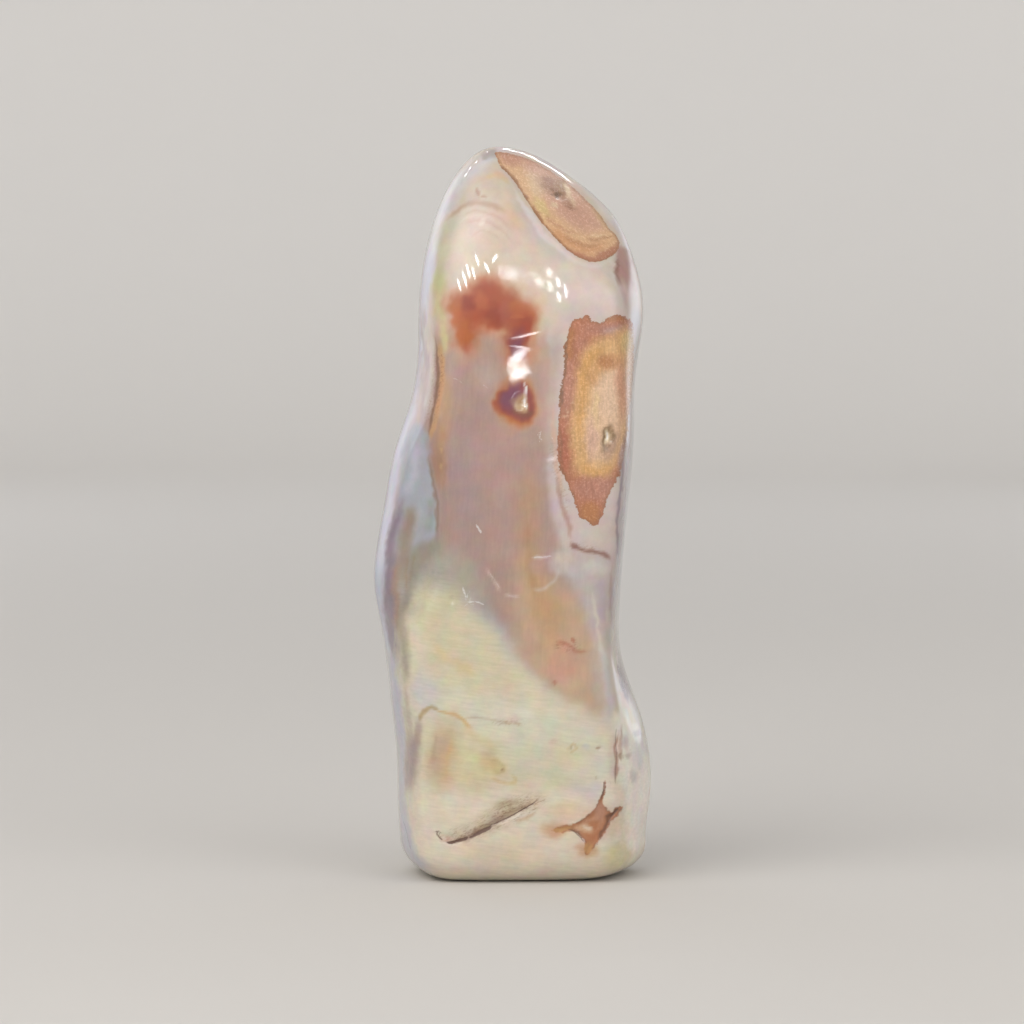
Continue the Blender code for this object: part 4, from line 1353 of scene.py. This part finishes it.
    height = calc(tree, "MULTIPLY", mottle, 0.0015)
    height = calc(tree, "ADD", height, calc(tree, "MULTIPLY", inside, about(crumbs, 0.02)))
    height = calc(tree, "SUBTRACT", height, calc(tree, "MULTIPLY", dark, 0.12))
    bump = add_node(tree, "Bump", {"Height": height, "Distance": MM, "Strength": 1.0})
    tree.links.new(bump.outputs[0], shader.inputs["Normal"])
    shader.inputs["IOR"].default_value = 1.54
    shader.inputs["Subsurface Weight"].default_value = 0.12
    shader.inputs["Subsurface Radius"].default_value = (1.0, 0.6, 0.45)
    shader.inputs["Subsurface Scale"].default_value = 0.003
    return material


def make_floor():
    """A pale studio floor that curves up into a far wall all round."""
    flat, bend, sides = FLOOR_RADIUS, FLOOR_BEND, FLOOR_SIDES
    profile = [(0.0, 0.0), (flat, 0.0)]
    for turn in np.linspace(0.1, math.pi / 2, 12):
        profile.append((flat + bend * math.sin(turn), bend - bend * math.cos(turn)))
    profile.append((flat + bend, WALL_HEIGHT))
    verts = [(0, 0, 0)]
    for radius, height in profile[1:]:
        for i in range(sides):
            turn = 2 * math.pi * i / sides
            verts.append((radius * math.cos(turn), radius * math.sin(turn), height))
    faces = [(0, 1 + i, 1 + (i + 1) % sides) for i in range(sides)]
    for ring in range(len(profile) - 2):
        low, high = 1 + ring * sides, 1 + (ring + 1) * sides
        for i in range(sides):
            j = (i + 1) % sides
            faces.append((low + i, high + i, high + j, low + j))
    mesh = bpy.data.meshes.new("floor")
    mesh.from_pydata(verts, [], faces)
    mesh.shade_smooth()
    floor = bpy.data.objects.new("floor", mesh)
    bpy.context.scene.collection.objects.link(floor)
    material = bpy.data.materials.new("pale_paper")
    material.use_nodes = True
    tree = material.node_tree
    shader = tree.nodes["Principled BSDF"]
    place = add_node(tree, "TexCoord").outputs["Object"]
    away = add_node(tree, "VectorMath", {0: place}, operation="LENGTH").outputs["Value"]
    # Painted light and shade: the paper is darker near the middle, where the lamps fall strongest, and paler
    # out on the wall, which gets less light.
    paper = blend(tree, eased(tree, away, 0.3, 2.6), (0.60, 0.57, 0.53, 1), (0.93, 0.90, 0.86, 1))
    tree.links.new(paper, shader.inputs["Base Color"])
    shader.inputs["Roughness"].default_value = 0.85
    mesh.materials.append(material)


def add_lamp(name, size, glow, colour=(1, 1, 1)):
    """A flat lamp that the camera doesn't see, on an object of its own."""
    lamp = bpy.data.lights.new(name, "AREA")
    lamp.shape = "RECTANGLE"
    lamp.size, lamp.size_y = size
    lamp.energy = glow * math.pi * size[0] * size[1]
    lamp.color = colour
    thing = bpy.data.objects.new(name, lamp)
    thing.visible_camera = False
    bpy.context.scene.collection.objects.link(thing)
    return thing


def make_lamp(name, azimuth, rise, distance, size, glow, colour=(1, 1, 1)):
    """A large lamp that looks at the stone, placed round it. It fades out towards its edges."""
    thing = add_lamp(name, size, glow, colour)
    thing.data.use_nodes = True
    tree = thing.data.node_tree
    place = add_node(tree, "TexCoord").outputs["UV"]
    off = add_node(tree, "VectorMath", {0: place, 1: (0.5, 0.5, 0.0)}, operation="DISTANCE")
    fade = eased(tree, off.outputs["Value"], 0.5, 0.0)
    tree.links.new(fade, tree.nodes["Emission"].inputs["Strength"])
    out = Vector(face_normal(azimuth, rise))
    thing.location = Vector((0, 0, AIM_HEIGHT * MM)) + out * distance
    thing.rotation_euler = out.to_track_quat("Z", "Y").to_euler()


def mirrored(place):
    """The skin's point at a place on the drawing, and which way it mirrors the camera's line of sight."""
    right, down = (np.array(place, float) - DRAWING / 2) * SENSOR / (LENS * DRAWING)
    sight = np.array([right, 0.0, 0.0]) - down * VIEW_UP - VIEW_BACK
    sight /= np.linalg.norm(sight)
    depths = np.arange(VIEW_DISTANCE - FARTHEST_REACH, VIEW_DISTANCE + FARTHEST_REACH, 0.25)
    along = VIEW_EYE + sight * depths[:, None]
    first = along[skin(along) < 0][:1]
    point = on_skin(first, -sight[None])[0]
    normal = outward(point[None])[0]
    return point, sight - 2 * (sight @ normal) * normal


def hang(name, point, centre, along, size):
    """A small lamp, longest along a direction, with a beam just wide enough to light one point of skin."""
    half_beam = BEAM_SPARE * math.atan(size[0] / (2 * GLINT_DISTANCE * MM)) + BEAM_EDGE
    thing = add_lamp(name, size, GLINT_GLOW * half_beam**2)
    thing.data.spread = 2 * half_beam
    out = Vector(centre - point).normalized()
    side = (Vector(along) - Vector(along).dot(out) * out).normalized()
    thing.matrix_world = Matrix((side, out.cross(side), out)).transposed().to_4x4()
    thing.location = centre * MM


def make_glints():
    """Hangs each small lamp where the polish mirrors it into its glint."""
    for i, (start, end, width) in enumerate(GLINTS):
        start, end = np.array(start, float), np.array(end, float)
        step = (end - start) / np.linalg.norm(end - start)
        middle = (start + end) / 2
        beside = middle + np.array([-step[1], step[0]])
        mirrors = [mirrored(place) for place in (start, end, middle, beside)]
        spots = [point + ray * GLINT_DISTANCE for point, ray in mirrors]
        length = np.linalg.norm(spots[1] - spots[0])
        wide = width * np.linalg.norm(np.cross(spots[3] - spots[2], (spots[1] - spots[0]) / length))
        hang(f"glint_{i}", mirrors[2][0], spots[2], spots[1] - spots[0], (length * MM, wide * MM))
    for i, place in enumerate(RIM_GLINTS):
        point, ray = mirrored(place)
        hang(f"rim_dot_{i}", point, point + ray * GLINT_DISTANCE, (0, 0, 1), (RIM_LAMP_SIZE, RIM_LAMP_SIZE))


def make_camera():
    """The camera that the drawing of the show face was made for."""
    data = bpy.data.cameras.new("camera")
    data.lens = LENS
    data.sensor_width = SENSOR
    camera = bpy.data.objects.new("camera", data)
    camera.location = Vector(VIEW_EYE * MM)
    camera.rotation_euler = (math.pi / 2 - RISE, 0, 0)
    bpy.context.scene.collection.objects.link(camera)
    bpy.context.scene.camera = camera


def make_studio():
    """Even pale light from all round, large soft lamps, and small ones that glint in the polish."""
    scene = bpy.context.scene
    scene.view_settings.view_transform = "Standard"
    world = bpy.data.worlds.new("studio")
    world.use_nodes = True
    world.node_tree.nodes["Background"].inputs["Color"].default_value = (0.92, 0.95, 1.0, 1)
    world.node_tree.nodes["Background"].inputs["Strength"].default_value = 0.62
    scene.world = world
    make_lamp("key", -42, 34, 1.5, (2.6, 2.2), 3.4)
    make_lamp("fill", 46, 22, 1.5, (2.4, 2.0), 2.0)
    make_lamp("front", 0, 20, 1.7, (2.8, 1.2), 1.0)
    make_lamp("rim_left", -146, 18, 1.4, (1.2, 1.8), 1.0, (0.84, 0.89, 1.0))
    make_lamp("rim_right", 146, 6, 1.4, (1.0, 1.3), 1.4, (0.84, 0.89, 1.0))
    make_glints()


stone = make_stone()
stone.data.materials.append(polished_jasper())
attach(stone, "root")
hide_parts(NODE)
make_floor()
make_camera()
make_studio()
